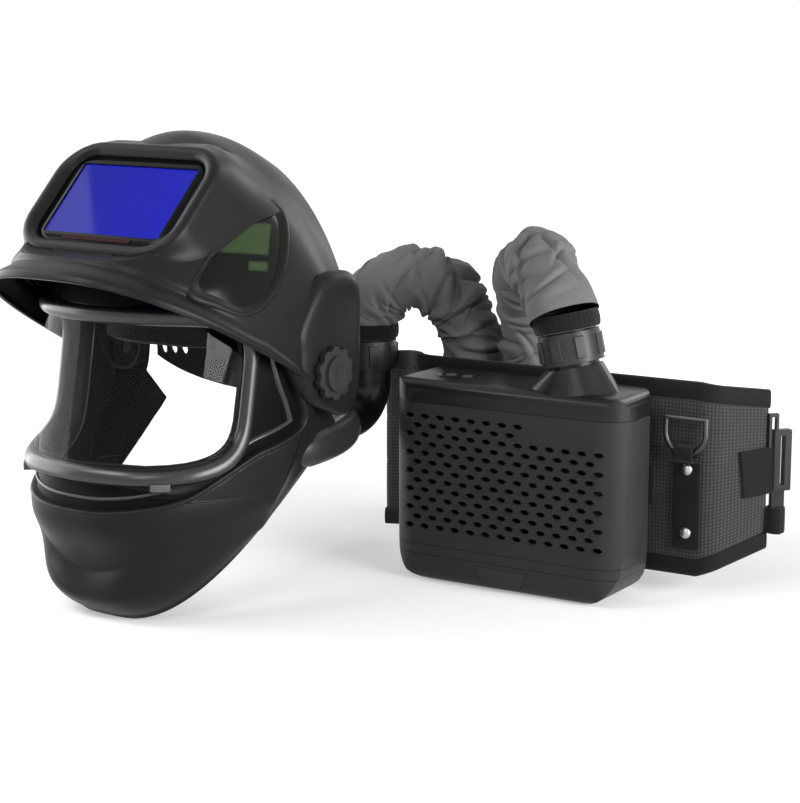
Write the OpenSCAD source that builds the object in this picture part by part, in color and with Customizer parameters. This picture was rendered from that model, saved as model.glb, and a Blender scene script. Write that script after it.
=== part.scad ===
// Powered air respirator: flip-up welding helmet, sleeved hose, belt-worn blower.
// Millimetres, +Z up, front of helmet and blower towards -Y, origin under the blower's middle.

/* [Helmet] */
// Sideways place of the helmet's hose collar from the middle of the blower
inlet_x = -186; // [-200:1:-180]
// Place of the helmet's hose collar along the depth, from the middle of the blower
inlet_y = 48; // [40:1:52]
// Turn of the helmet away from the way the blower faces
helmet_turn = 4; // [0:1:8]
// Radius of the crown round the hinge line
crown_r = 161; // [155:1:170]
// Half width of the face shell at the hinge line
shell_half_w = 115; // [110:1:120]
// Wall thickness of both moulded shells
shell_wall = 3; // [2.5:0.5:4]
// Room between the face shell and the flip shield at the ears
shield_gap = 5; // [4:0.5:7]
// Angle from the welding position up to the raised rest position
raise_angle = 45; // [40:1:50]

/* [Lenses] */
// Width of the blue filter's view area
view_w = 124; // [110:1:128]
// Height of the blue filter's view area
view_h = 72; // [60:1:78]
// Height of the clear visor's frame, in hundredths of the crown radius
visor_tall = 85; // [78:1:88]
// Width of the visor frame's rim
visor_rim = 13; // [10:1:15]

/* [Blower] */
// Width of the blower
blower_w = 227; // [218:1:234]
// Depth of the blower
blower_d = 70; // [66:1:76]
// Height of the blower's top deck
blower_h = 176; // [170:1:185]
// Wall thickness of the blower's housings
housing_wall = 3; // [2.5:0.5:4]
// Outer diameter of the hose collars
collar_d = 52; // [48:1:56]

/* [Hose and belt] */
// Diameter of the fabric sleeve on the hose
sleeve_d = 55; // [50:1:58]
// Height of the belt pad at its middle
belt_h = 147; // [138:1:154]
// Thickness of the belt pad
belt_t = 10; // [8:1:12]

/* [Hidden] */

// Fine steps for round holes and pins
$fn = 48;
// Radial room of a turning fit
turn_room = 0.06;
// Gap at the seams of the blower
seam = 0.4;

// Helmet sizes that follow from the driving ones
shield_half_w = shell_half_w + shield_gap + shell_wall;
pivot_r = 5;
ear_r = 44;
ear_hole_r = 20;
jaw_slope = 40.75;
jaw_r = 0.367 * crown_r;
chin_r = 1.46 * crown_r;
nape_r = 0.23 * crown_r;
brim_r = 1.404 * crown_r;
brim_slope = 17.4;
shield_back_r = 1.1 * crown_r;
hinge_h = chin_r * sin(jaw_slope + asin(jaw_r / chin_r)) + 0.4;
lens_y = 1.105 * crown_r;
lens_u = 0.14 * crown_r;
visor_h = visor_tall / 100 * crown_r;
visor_half_w = 0.88 * shell_half_w;
visor_depth = 0.56 * crown_r;
visor_centre = 0.447 * crown_r;
visor_lean = 10;
visor_arc = 92 * PI / 180 * visor_half_w;
visor_mid = -0.04 * crown_r;
bolt_in = shell_half_w - 14;
bolt_out = shield_half_w + 13;

// Angle from the hinge line against radius, as a share of the crown radius: face shell, then shield
face_form = [[-56, 1.46], [-51, 1.475], [-46, 1.465], [-42, 1.415], [-38.5, 1.365], [-35, 1.325],
    [-31, 1.272], [-27, 1.22], [-20, 1.1], [-10, 1.02], [0, 0.99], [10, 0.98], [20, 1], [110, 1]];
face_width = [[-56, 0.84], [-44, 0.9], [-30, 1], [110, 1]];
shield_form = [[-24, 1.404], [-20, 1.35], [-15, 1.29], [-8, 1.24], [2, 1.205], [14, 1.205],
    [24, 1.23], [33, 1.235], [45, 1.18], [58, 1.1]];
// Squareness of the sections against the same angle
face_square = [[-45, 2.9], [-20, 2.6], [0, 2.3], [40, 2]];
shield_square = [[-24, 2.8], [-5, 2.6], [15, 2.3], [40, 1.85]];

// Blower sizes that follow
half_w = blower_w / 2;
half_d = blower_d / 2;
base_seam = 24;
cover_low = 33;
cover_top = blower_h - 19;
cover_back = 8;
spout_x = 0.215 * blower_w;
spout_lean = 13;
spigot_r = collar_d / 2 - 5;
collar_h = 26;
spout_rise = 26;
latch_w = 40;
latch_h = 14;
panel_x = -0.27 * blower_w;
button_x = [panel_x - 8, panel_x + 8];
button_r = 5.1;
fan_h = 0.54 * blower_h;
catch_at = [half_w - 5.5, 19, 0.55 * blower_h];
screw_x = half_w - 24;
screw_z = [44, cover_top - 14];

// Duct and elbow, measured from the hinge line: sideways, backwards, upwards
duct_half_w = 0.87 * shell_half_w;
duct_back = 1.07 * crown_r;
duct_u = -0.42 * crown_r;
elbow = [0.3 * shell_half_w, 1.07 * crown_r, duct_u];
elbow_bend = 30;
elbow_collar_low = hinge_h - 0.17 * crown_r;
helmet_x = inlet_x - elbow[0] * cos(helmet_turn) - elbow[1] * sin(helmet_turn);
helmet_y = inlet_y + elbow[0] * sin(helmet_turn) - elbow[1] * cos(helmet_turn);

// Belt: its flat back ends sooner on the left, where it bends back and out again behind the elbow
belt_front = half_d + 8;
belt_right = half_w + 30;
belt_left = half_w + 3;
belt_turn = 50;
belt_bend_r = 26;
belt_arc = belt_bend_r * belt_turn * PI / 180;
wing_l = 41;
belt_end = belt_right + belt_arc + wing_l;
belt_low = 25;

// Small helpers
function signed_power(v, p) = sign(v) * pow(abs(v), p);
function mix(a, b, f) = a + (b - a) * f;
function joined(rows) = [for (row = rows) each row];
function unit(v) = v / norm(v);
function backwards(list) = [for (i = [len(list) - 1 : -1 : 0]) list[i]];

// A solid whose skin runs through closed loops and back to the first one
module ring_solid(loops) {
    n = len(loops);
    m = len(loops[0]);
    at = function(i, j) (i % n) * m + j % m;
    faces = [for (i = [0 : n - 1]) for (j = [0 : m - 1]) each [
        [at(i, j), at(i + 1, j + 1), at(i, j + 1)],
        [at(i, j), at(i + 1, j), at(i + 1, j + 1)]
    ]];
    polyhedron(joined(loops), faces, convexity = 10);
}

// A solid between closed loops, with flat ends
module loft(loops) {
    n = len(loops);
    m = len(loops[0]);
    at = function(i, j) i * m + j % m;
    sides = [for (i = [0 : n - 2]) for (j = [0 : m - 1]) each [
        [at(i, j), at(i + 1, j + 1), at(i, j + 1)],
        [at(i, j), at(i + 1, j), at(i + 1, j + 1)]
    ]];
    ends = [for (j = [1 : m - 2]) each [
        [at(0, 0), at(0, j), at(0, j + 1)],
        [at(n - 1, 0), at(n - 1, j + 1), at(n - 1, j)]
    ]];
    polyhedron(joined(loops), concat(sides, ends), convexity = 10);
}

// A wall between an outer and an inner grid of points, with some cells left open
module grid_wall(outer, inner, open = function(i, j) false) {
    n = len(outer);
    m = len(outer[0]);
    far = n * m;
    at = function(i, j) i * m + j;
    full = function(i, j) i >= 0 && j >= 0 && i < n - 1 && j < m - 1 && !open(i, j);
    edge = function(a, b) [[a, b, far + b], [a, far + b, far + a]];
    faces = [for (i = [0 : n - 2]) for (j = [0 : m - 2]) if (full(i, j)) each concat(
        [[at(i, j), at(i + 1, j + 1), at(i, j + 1)], [at(i, j), at(i + 1, j), at(i + 1, j + 1)]],
        [[far + at(i, j), far + at(i, j + 1), far + at(i + 1, j + 1)],
         [far + at(i, j), far + at(i + 1, j + 1), far + at(i + 1, j)]],
        full(i - 1, j) ? [] : edge(at(i, j), at(i, j + 1)),
        full(i + 1, j) ? [] : edge(at(i + 1, j + 1), at(i + 1, j)),
        full(i, j - 1) ? [] : edge(at(i + 1, j), at(i, j)),
        full(i, j + 1) ? [] : edge(at(i, j + 1), at(i + 1, j + 1))
    )];
    polyhedron(joined([joined(outer), joined(inner)]), faces, convexity = 10);
}

// A smooth path through route points, each span cut in equal steps
function curve_at(p, i, f) = let(
    a = p[max(i - 1, 0)], b = p[i], c = p[min(i + 1, len(p) - 1)], d = p[min(i + 2, len(p) - 1)])
    0.5 * (2 * b + (c - a) * f + (2 * a - 5 * b + 4 * c - d) * f * f + (3 * b - 3 * c + d - a) * f * f * f);
function smooth_path(p, steps) = concat(
    [for (i = [0 : len(p) - 2]) for (k = [0 : steps - 1]) curve_at(p, i, k / steps)], [p[len(p) - 1]]);
// A closed smooth curve through points
function closed_curve(p, steps) = let(n = len(p), ring = concat([p[n - 1]], p, [p[0], p[1]]))
    [for (i = [1 : n]) for (k = [0 : steps - 1]) curve_at(ring, i, k / steps)];
function heading(p, i) = unit(p[min(i + 1, len(p) - 1)] - p[max(i - 1, 0)]);
function squared(u, t) = unit(u - t * (u * t));
function sides_of(p, first) = [for (i = 0, u = squared(first, heading(p, 0)); i < len(p);
    i = i + 1, u = i < len(p) ? squared(u, heading(p, i)) : u) u];
// Loops round a path: radius_a lies along the carried side, radius_b square to it
function loops_on(p, first, radius_a, radius_b, sides) = let(u = sides_of(p, first))
    [for (i = [0 : len(p) - 1]) let(v = cross(heading(p, i), u[i]))
        [for (k = [0 : sides - 1]) let(w = 360 * k / sides)
            p[i] + u[i] * radius_a(i) * cos(w) + v * radius_b(i) * sin(w)]];

// Places the helmet's own frame, with its hinge line through the origin
module on_helmet() {
    translate([helmet_x, helmet_y, hinge_h]) rotate([0, 0, -helmet_turn]) children();
}

// Places pieces of the flip shield, drawn closed, at the raised rest position
module on_shield() {
    on_helmet() rotate([-raise_angle, 0, 0]) children();
}

// Both ears, the second one mirrored
module both_ears() {
    for (side = [0, 1]) mirror([side, 0, 0]) children();
}

// A pin or hole along the hinge line
module hinge_pin(r, from, to) {
    translate([from, 0, 0]) rotate([0, 90, 0]) cylinder(r = r, h = to - from);
}

// Round-cornered plate outline
module round_rect(w, h, r) {
    square([w - 2 * r, h], center = true);
    square([w, h - 2 * r], center = true);
    for (x = [-1, 1]) for (y = [-1, 1]) translate([x * (w / 2 - r), y * (h / 2 - r)]) circle(r = r);
}

// Sections through the hinge line: share of radius and of half width at angle t from the middle,
// and the angle at which a section reaches the round hole at the ear
function section_r(t, n) = pow(cos(t), 2 / n);
function section_w(t, n) = signed_power(sin(t), 2 / n);
function ear_t(radius, n) = acos(pow(ear_hole_r / radius, n / 2));
function dome_point(radius, half_w, n, a, t) =
    let(r = radius * section_r(t, n)) [half_w * section_w(t, n), -r * cos(a), r * sin(a)];

// Face shell: rows climb from the jaw to the ledge, the brow and the crown's back edge
shell_cols = 26;
chin_rows = 8;
face_rows = 5;
crown_rows = 8;
function jaw_angle(t) = -jaw_slope - asin(min(1, jaw_r / (chin_r * section_r(t, 2.6))));
function ledge_angle(t) = -asin(min(0.9, 0.53 * crown_r / (1.17 * crown_r * section_r(t, 2.4))));
function brow_angle(t) = asin(min(0.9, 0.37 * crown_r / (crown_r * section_r(t, 2.2))));
function back_angle(t) = 90 + asin(min(1, nape_r / (crown_r * section_r(t, 2))));
function face_angle(row, t) =
    row <= chin_rows ? mix(jaw_angle(t), ledge_angle(t), row / chin_rows) :
    row <= chin_rows + face_rows
        ? mix(ledge_angle(t), brow_angle(t), (row - chin_rows - 0.7) / (face_rows - 0.7)) :
    mix(brow_angle(t), back_angle(t), (row - chin_rows - face_rows) / crown_rows);
function face_point(row, t, inset) = let(mid = face_angle(row, 0))
    dome_point(crown_r * lookup(mid, face_form) - inset - (row > chin_rows && mid < 15 ? 4 : 0),
        shell_half_w * lookup(mid, face_width) - inset, lookup(mid, face_square), face_angle(row, t), t);
function face_end_t(row) = let(mid = face_angle(row, 0))
    ear_t(crown_r * lookup(mid, face_form), lookup(mid, face_square));
function face_grid(inset) = [for (row = [0 : chin_rows + face_rows + crown_rows])
    [for (j = [0 : shell_cols]) face_point(row, mix(-1, 1, j / shell_cols) * face_end_t(row), inset)]];

module face_shell() {
    visor_cell = function(i, j) i > chin_rows && i < chin_rows + face_rows
        && abs(j + 0.5 - shell_cols / 2) < (i == chin_rows + 1 ? 7 : 9);
    color("#2b2c2e") on_helmet() grid_wall(face_grid(0), face_grid(shell_wall), visor_cell);
}

// A point of the visor: arc length from the middle, height, and lift off its surface
function visor_point(arc, u, lift) = let(
    w = arc / visor_half_w * 180 / PI,
    over = max(0, abs(w) - 90) * PI / 180 * visor_half_w,
    bend = sign(w) * min(90, abs(w)))
    [(visor_half_w + lift) * sin(bend),
     -(visor_centre + (visor_depth + lift) * cos(bend) - over - u * tan(visor_lean)), u];
// A closed loop round the visor, drawn in from its frame's outer edge
function visor_loop(inset, lift) = [for (w = [0 : 7.5 : 352.5]) visor_point(
    (visor_arc - inset) * signed_power(cos(w), 0.4),
    visor_mid + (visor_h / 2 - inset) * signed_power(sin(w), 0.4), lift)];

module visor_frame() {
    color("#1d1e20") on_helmet() ring_solid([
        visor_loop(-15, -13), visor_loop(-15, -9), visor_loop(-1, -4), visor_loop(0, 4),
        visor_loop(3, 5.5), visor_loop(visor_rim - 4, 4.5), visor_loop(visor_rim, 0),
        visor_loop(visor_rim, -4), visor_loop(2, -6)
    ]);
}

module visor_gasket() {
    color("#101112") on_helmet() ring_solid([
        visor_loop(2, -9), visor_loop(2, -6), visor_loop(visor_rim, -4), visor_loop(visor_rim + 1, -7)
    ]);
}

module clear_visor() {
    grid = function(lift) [for (i = [0 : 4]) [for (j = [0 : 26]) visor_point(
        mix(-1, 1, j / 26) * (visor_arc - visor_rim - 0.1),
        visor_mid + mix(-1, 1, i / 4) * (visor_h / 2 - visor_rim - 0.1), lift)]];
    color("#cfd8dc") on_helmet() grid_wall(grid(-0.5), grid(-2.5));
}

// Two finger catches under the visor
module visor_catches() {
    turn = 45;
    color("#8f9294") on_helmet() for (side = [-1, 1])
        translate(visor_point(side * turn * PI / 180 * visor_half_w, visor_mid - visor_h / 2 - 1, 1))
            rotate([0, 0, side * turn]) cube([16, 9, 6], center = true);
}

// Fabric seal that hangs inside the jaw, to this angle at each side
seal_reach = 70;
function seal_point(row, t, inset) = dome_point(chin_r * mix(0.99, 0.93, row) - inset,
    shell_half_w - 4 - 12 * row - inset, 2.6, jaw_angle(t) + mix(9, -1, row), t);
module face_seal() {
    grid = function(inset) [for (i = [0 : 3])
        [for (j = [0 : 24]) seal_point(i / 3, mix(-1, 1, j / 24) * seal_reach, inset)]];
    color("#1b1b1d") on_helmet() grid_wall(grid(shell_wall + 2.5), grid(shell_wall + 0.5));
}

// Air duct from the cheek round to the nape, open at the cheek and drawn in at its far end
module air_duct() {
    path = [for (k = [84 : -9 : 12]) [duct_half_w * sin(k), duct_back * 0.88 * cos(k) - 12, duct_u]];
    size = function(i) i == len(path) - 1 ? 0.4 : 1;
    loops = function(inset) loops_on(path, [0, 0, 1],
        function(i) 15 * size(i) - inset, function(i) 11 * size(i) - inset, 12);
    color("#232426") on_helmet() ring_solid(concat(loops(0), backwards(loops(2))));
}

// Elbow from the duct up to the hose: a taper into the duct, a bend and a straight riser
module elbow_taper() {
    difference() {
        cylinder(r1 = spigot_r, r2 = 12, h = 26);
        translate([0, 0, -0.1]) cylinder(r1 = spigot_r - 3, r2 = 9, h = 26.2);
    }
}
module elbow_turn() {
    rotate([0, 0, 90]) translate([0, 0, elbow_bend]) rotate([90, 0, 0]) rotate([0, 0, -90])
        rotate_extrude(angle = 90) translate([elbow_bend, 0]) difference() {
            circle(r = spigot_r);
            circle(r = spigot_r - 3);
        }
}
module duct_elbow() {
    riser = elbow_collar_low - hinge_h - elbow[2] - elbow_bend + collar_h + 6;
    color("#232426") on_helmet() translate(elbow) {
        translate([0, -elbow_bend, 0]) {
            rotate([90, 0, 0]) elbow_taper();
            elbow_turn();
        }
        translate([0, 0, elbow_bend]) difference() {
            cylinder(r = spigot_r, h = riser);
            translate([0, 0, -1]) cylinder(r = spigot_r - 3, h = riser + 2);
        }
    }
}

// Bayonet collar with finger grips, standing on its own axis
module collar() {
    difference() {
        union() {
            cylinder(d = collar_d, h = collar_h);
            for (k = [0 : 7]) rotate([0, 0, 45 * k]) translate([collar_d / 2 - 1, -4, 4])
                cube([2.6, 8, collar_h - 8]);
        }
        translate([0, 0, -1]) cylinder(r = spigot_r + turn_room, h = collar_h + 2);
    }
}
module elbow_collar() {
    color("#1a1b1c") translate([inlet_x, inlet_y, elbow_collar_low]) collar();
}

// Bolts that carry the shield, the knobs and the headgear
module pivot_bolts() {
    color("#3a3b3d") on_helmet() both_ears() {
        hinge_pin(pivot_r, bolt_in, bolt_out);
        hinge_pin(ear_hole_r + 7, shell_half_w - shell_wall - 2, shell_half_w - shell_wall + 0.5);
    }
}

// Flip shield: rows climb from the brim to its back edge
shield_rows = 18;
shield_cols = 28;
function brim_angle(t) = -brim_slope - asin(min(1, 0.095 * crown_r / (brim_r * section_r(t, 2.8))));
function shield_back_angle(t) = 133 - acos(min(1, ear_r / (shield_back_r * section_r(t, 1.85))));
function shield_angle(row, t) = mix(brim_angle(t), shield_back_angle(t), row / shield_rows);
function shield_point(row, t, inset) = let(mid = shield_angle(row, 0)) dome_point(
    crown_r * lookup(mid, shield_form) - inset, shield_half_w - inset,
    lookup(mid, shield_square), shield_angle(row, t), t);
function shield_end_t(row) = let(mid = shield_angle(row, 0))
    ear_t(crown_r * lookup(mid, shield_form), lookup(mid, shield_square));
function shield_grid(inset) = [for (row = [0 : shield_rows])
    [for (j = [0 : shield_cols]) shield_point(row, mix(-1, 1, j / shield_cols) * shield_end_t(row), inset)]];
function from_middle(j) = abs(j + 0.5 - shield_cols / 2);
function in_lens(row, j) = let(a = shield_angle(row + 0.5, 0)) a > -12 && a < 29 && from_middle(j) < 5;
function in_window(row, j) = let(a = shield_angle(row + 0.5, 0))
    a > -8 && a < 12 && from_middle(j) > 8.4 && from_middle(j) < 9.6;

module shield_shell() {
    color("#2b2c2e") on_shield() grid_wall(shield_grid(0), shield_grid(shell_wall),
        function(i, j) in_lens(i, j) || in_window(i, j));
}

// Places flat pieces of the filter, drawn facing up, on the front of the closed shield
module on_lens(d) {
    on_shield() translate([0, -d, lens_u]) rotate([90, 0, 0]) children();
}

// A frame between two round-cornered outlines, each as [width, height, corner]
module lens_ring(outer, inner, depth) {
    linear_extrude(depth) difference() {
        round_rect(outer[0], outer[1], outer[2]);
        round_rect(inner[0], inner[1], inner[2]);
    }
}

// Raised box round the filter, with a ledge that carries the cover lens
lens_box = [view_w + 38, view_h + 44, 32];
module lens_housing() {
    hole = [view_w + 22, view_h + 28, 28];
    shelf = [view_w + 12, view_h + 18, 14];
    thin = [lens_box[0] - 10, lens_box[1] - 10, 29];
    color("#2b2c2e") {
        on_lens(lens_y - 5) lens_ring(lens_box, hole, 11);
        on_lens(lens_y - 5) lens_ring([view_w + 30, view_h + 36, 30], shelf, 5);
        for (side = [-1, 1]) {
            on_lens(lens_y - 34) intersection() {
                lens_ring(lens_box, thin, 30);
                translate([side * lens_box[0] / 2, 0, 20]) cube([26, lens_box[1], 60], center = true);
            }
            on_lens(lens_y - 44) intersection() {
                lens_ring(lens_box, thin, 40);
                translate([side * lens_box[0] / 2, lens_box[1] / 2, 20]) cube([52, 52, 60], center = true);
            }
        }
    }
}

module cover_lens() {
    color("#12181d") on_lens(lens_y) linear_extrude(1.5) round_rect(view_w + 18, view_h + 24, 26);
}
module blue_filter() {
    color("#2250c8") on_lens(lens_y - 4) linear_extrude(4) square([view_w, view_h], center = true);
}
module filter_case() {
    color("#17181a") on_lens(lens_y - 7) difference() {
        linear_extrude(7) round_rect(view_w + 11, view_h + 17, 13);
        translate([0, 0, 3]) linear_extrude(9) square([view_w, view_h], center = true);
        translate([0, 0, -1]) linear_extrude(20) square([view_w - 8, view_h - 8], center = true);
    }
}
// Solar cell and sensor strip under the view area
module sensor_strip() {
    color("#5b1b1f") on_lens(lens_y + 1.5) translate([0, -view_h / 2 - 5, 0])
        linear_extrude(0.6) round_rect(view_w * 0.6, 4, 1.5);
}

// Side window: a tear-shaped pane over the opening, as angles round the hinge line and from the middle
window_mid = [8, 54];
window_edge = [[31.5, 40.5], [33.5, 48.5], [29.5, 59], [15, 65.5], [-2, 67], [-12, 64], [-14, 56],
    [-13.5, 47.5], [-2.5, 45.5], [14, 43.5]];
function shield_row(a, t) = shield_rows * (a - brim_angle(t)) / (shield_back_angle(t) - brim_angle(t));
function window_point(share, edge, lift) = let(at = mix(window_mid, edge, share))
    shield_point(shield_row(at[0], at[1]), at[1], -lift);
module side_windows() {
    edge = closed_curve(window_edge, 2);
    grid = function(lift) [for (share = [0.02, 0.35, 0.7, 1])
        [for (p = edge) window_point(share, p, lift)]];
    color("#0e1512") on_shield() both_ears() loft(concat(grid(2), backwards(grid(-2))));
}

// Raised pads over the ears, drawn as they stand with the shield raised
module ear_pads() {
    edge = [[-44, 70], [-46, 24], [-44, -6], [-32, -28], [-11, -37], [18, -24], [34, -4], [36, 20], [34, 40],
        [8, 74], [-18, 80]];
    color("#313234") on_helmet() both_ears() difference() {
        translate([shield_half_w - 5, 0, 0]) rotate([90, 0, 90]) linear_extrude(7)
            polygon([for (p = closed_curve(edge, 4)) [-p[0], p[1]]]);
        hinge_pin(pivot_r + turn_room, 0, 2 * shield_half_w);
    }
}

// Scalloped friction knob
module knob() {
    difference() {
        union() {
            hinge_pin(22, shield_half_w + 3.4, shield_half_w + 9);
            hinge_pin(15, shield_half_w + 3.4, shield_half_w + 13);
        }
        for (k = [0 : 9]) rotate([36 * k, 0, 0]) translate([0, 24, 0])
            hinge_pin(4.5, shell_half_w, 2 * shield_half_w);
        hinge_pin(pivot_r + turn_room, 0, bolt_out + 0.5);
    }
}
module knob_left() {
    color("#202123") on_helmet() knob();
}
module knob_right() {
    color("#202123") on_helmet() mirror([1, 0, 0]) knob();
}

// Headgear: an oval band that climbs towards the brow
band_half_w = 0.68 * shell_half_w;
band_half_l = 0.6 * crown_r;
function band_point(w, u, lift) = [
    (band_half_w + lift) * cos(w),
    (band_half_l + lift) * sin(w),
    0.17 * crown_r - 14 * sin(w) + u];
function band_loop(u, lift) = [for (w = [0 : 10 : 350]) band_point(w, u, lift)];

module headband() {
    color("#26272a") on_helmet()
        ring_solid([band_loop(-13, 0), band_loop(-13, 2.5), band_loop(13, 2.5), band_loop(13, 0)]);
}

// Cushion inside the front of the band
module brow_pad() {
    grid = function(lift) [for (i = [0 : 4]) [for (j = [0 : 16])
        band_point(mix(-150, -30, j / 16), mix(16, -16, i / 4), lift * sin(mix(20, 160, i / 4)))]];
    color("#3c3d40") on_helmet() grid_wall(grid(-8), grid(0));
}

// Two straps that cross over the head
module crown_straps() {
    color("#26272a") on_helmet() for (strap = [[0, 90], [35, 86]]) {
        from = band_point(strap[0], 0, -1.5);
        to = band_point(strap[0] + 180, 0, -1.5);
        path = [for (k = [4 : 11 : 180]) mix(from, to, (1 - cos(k)) / 2) + [0, 0, strap[1] * sin(k)]];
        loft(loops_on(path, [0, 1, 0], function(i) 9, function(i) 1.4, 8));
    }
}

// Broad rear band, deepest at the nape, with three comfort slots near each end
module rear_cradle() {
    cols = 52;
    low = function(j) -60 + 28 * pow(abs(j / cols - 0.5) * 2, 3);
    grid = function(lift) [for (i = [0 : 6]) [for (j = [0 : cols])
        band_point(mix(10, 170, j / cols), mix(-14, low(j), i / 6), lift)]];
    slot = function(i, j) i > 0 && i < 4 && len(search(j, [1, 3, 5, 46, 48, 50])) > 0;
    color("#1f2022") on_helmet() grid_wall(grid(0.2), grid(2.7), slot);
}

// Arms from the band out to the bolts
module side_arms() {
    arm_in = band_half_w + 2.5;
    color("#2e2f32") on_helmet() both_ears() {
        difference() {
            hinge_pin(17, bolt_in + 1, bolt_in + 6);
            hinge_pin(pivot_r + turn_room, 0, 2 * shield_half_w);
        }
        translate([arm_in - 1, -6, 12]) cube([bolt_in + 6 - arm_in, 12, 22]);
    }
}

// Tightening knob at the back of the cradle
ratchet_u = 0.17 * crown_r - 14 - 32;
module ratchet_knob() {
    color("#141516") on_helmet() translate([0, band_half_l + 3.2, ratchet_u]) rotate([-90, 0, 0])
        difference() {
            cylinder(r = 19, h = 15);
            for (k = [0 : 11]) rotate([0, 0, 30 * k]) translate([21, 0, -1]) cylinder(r = 3.6, h = 20);
        }
}

// Blower: the shared body, drawn in by an inset, cut between two heights
function side_in(z) = let(belly = 0.62 * blower_h)
    z < belly ? 13 * pow((belly - z) / belly, 2) : 4 * pow((z - belly) / (blower_h - belly), 2);
function front_edge(inset) = let(r = 36, foot = half_w - side_in(r) - r) concat(
    [for (w = [-90 : 15 : -15]) [foot + (r - inset) * cos(w), r + (r - inset) * sin(w)]],
    [for (k = [0 : 11]) let(z = mix(r, blower_h - 9, k / 11)) [half_w - side_in(z) - inset, z]],
    [for (w = [15 : 15 : 90]) [half_w - 4 - 9 + (9 - inset) * cos(w), blower_h - 9 + (9 - inset) * sin(w)]]);
function side_edge(inset) = let(front = -half_d + inset, low = inset, top = blower_h - inset) concat(
    [[half_d - inset, low], [half_d - inset, top]],
    [for (w = [90 : 15 : 180]) [front + 12 + 12 * cos(w), top - 12 + 12 * sin(w)]],
    [for (w = [180 : 15 : 270]) [front + 14 + 14 * cos(w), low + 14 + 14 * sin(w)]]);
module blower_slab(low, top, inset = 0) {
    edge = front_edge(inset);
    intersection() {
        translate([0, 0, low]) linear_extrude(top - low)
            round_rect(blower_w - 2 * inset, blower_d - 2 * inset, 29 - inset);
        rotate([90, 0, 0]) linear_extrude(blower_d, center = true)
            polygon(concat(edge, [for (p = backwards(edge)) [-p[0], p[1]]]));
        rotate([90, 0, 90]) linear_extrude(blower_w, center = true) polygon(side_edge(inset));
    }
}

// Keeps what lies behind or before a plane across the depth
module behind(y) {
    intersection() {
        children();
        translate([-200, y, -10]) cube([400, 200, 400]);
    }
}
module before(y) {
    intersection() {
        children();
        translate([-200, y - 200, -10]) cube([400, 200, 400]);
    }
}

// Rear tray with the fan's bay, and the band that the battery hangs under
module rear_housing() {
    color("#2c2d2f") difference() {
        union() {
            behind(cover_back) blower_slab(base_seam + seam, cover_top - seam);
            blower_slab(base_seam + seam, cover_low - seam);
        }
        intersection() {
            blower_slab(cover_low + 4, cover_top - 4, housing_wall);
            translate([-200, cover_back + 3, 0]) cube([400, half_d - cover_back - 6, 300]);
        }
        translate([0, cover_back - 5, fan_h]) rotate([-90, 0, 0]) cylinder(r = 32, h = 12);
        translate([spout_x - 6, half_d - 14, cover_top - 10]) cylinder(r = 8, h = 20);
        for (side = [0, 1]) mirror([side, 0, 0]) translate(catch_at) cube([28, 9, 34], center = true);
    }
}

// Top deck with the leaning spout
module on_spout() {
    translate([spout_x + 6, 0, blower_h - 4]) rotate([0, -spout_lean, 0]) children();
}
module top_housing() {
    color("#232426") difference() {
        union() {
            blower_slab(cover_top, blower_h);
            hull() {
                translate([spout_x, 0, blower_h - 3]) scale([42, 31, 1]) cylinder(r = 1, h = 1, $fn = 32);
                on_spout() translate([0, 0, spout_rise - 5]) cylinder(r = spigot_r + 3, h = 2, $fn = 32);
            }
            on_spout() cylinder(r = spigot_r, h = spout_rise + collar_h + 4);
        }
        blower_slab(cover_top - 2, blower_h - 6, housing_wall);
        on_spout() translate([0, 0, -8]) cylinder(r = spigot_r - 3, h = blower_h);
        translate([panel_x, 0, blower_h - 1.5]) linear_extrude(5) round_rect(40, 22, 10);
        for (x = button_x) translate([x, 0, blower_h - 9]) cylinder(r = button_r + 0.4, h = 12);
    }
}

// Front cover with staggered rows of vents
vent_rows = 13;
vent_pitch = 15;
module vents() {
    top = cover_top - 12;
    for (k = [0 : vent_rows - 1]) for (i = [-6 : 6]) {
        x = (i + (k % 2) / 2) * vent_pitch;
        z = top - k * 8;
        if (abs(x) < half_w - 22 && !(k < 2 && x > 18))
            translate([x, -half_d - 1, z]) rotate([-90, 0, 0]) linear_extrude(8) polygon(
                [[-4.8, 0], [-2.4, 2.1], [2.4, 2.1], [4.8, 0], [2.4, -2.1], [-2.4, -2.1]]);
    }
}
module filter_cover() {
    color("#2c2d2f") difference() {
        before(cover_back - seam) blower_slab(cover_low, cover_top - seam);
        blower_slab(cover_low - 2, cover_top + 2, housing_wall);
        vents();
    }
}

// Battery under the body, with a thumb latch at its front
module battery_pack() {
    color("#28292b") difference() {
        blower_slab(0, base_seam);
        latch_block(16, seam);
    }
}
module latch_block(depth, grow) {
    high = latch_h / 2 + grow;
    top = latch_w / 2 + 6 + grow;
    low = latch_w / 2 - 2 + grow;
    translate([0, -half_d + depth / 2, base_seam / 2 + 1]) rotate([90, 0, 0])
        linear_extrude(depth, center = true)
            polygon([[-top, high], [top, high], [low, -high], [-low, -high]]);
}
module battery_latch() {
    color("#3b3c3f") latch_block(7, 0);
}

// Squeeze catches at both sides of the cover
module side_catch() {
    translate(catch_at) cube([7, 8, 33], center = true);
}
module catch_left() {
    color("#141516") side_catch();
}
module catch_right() {
    color("#141516") mirror([1, 0, 0]) side_catch();
}

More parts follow.
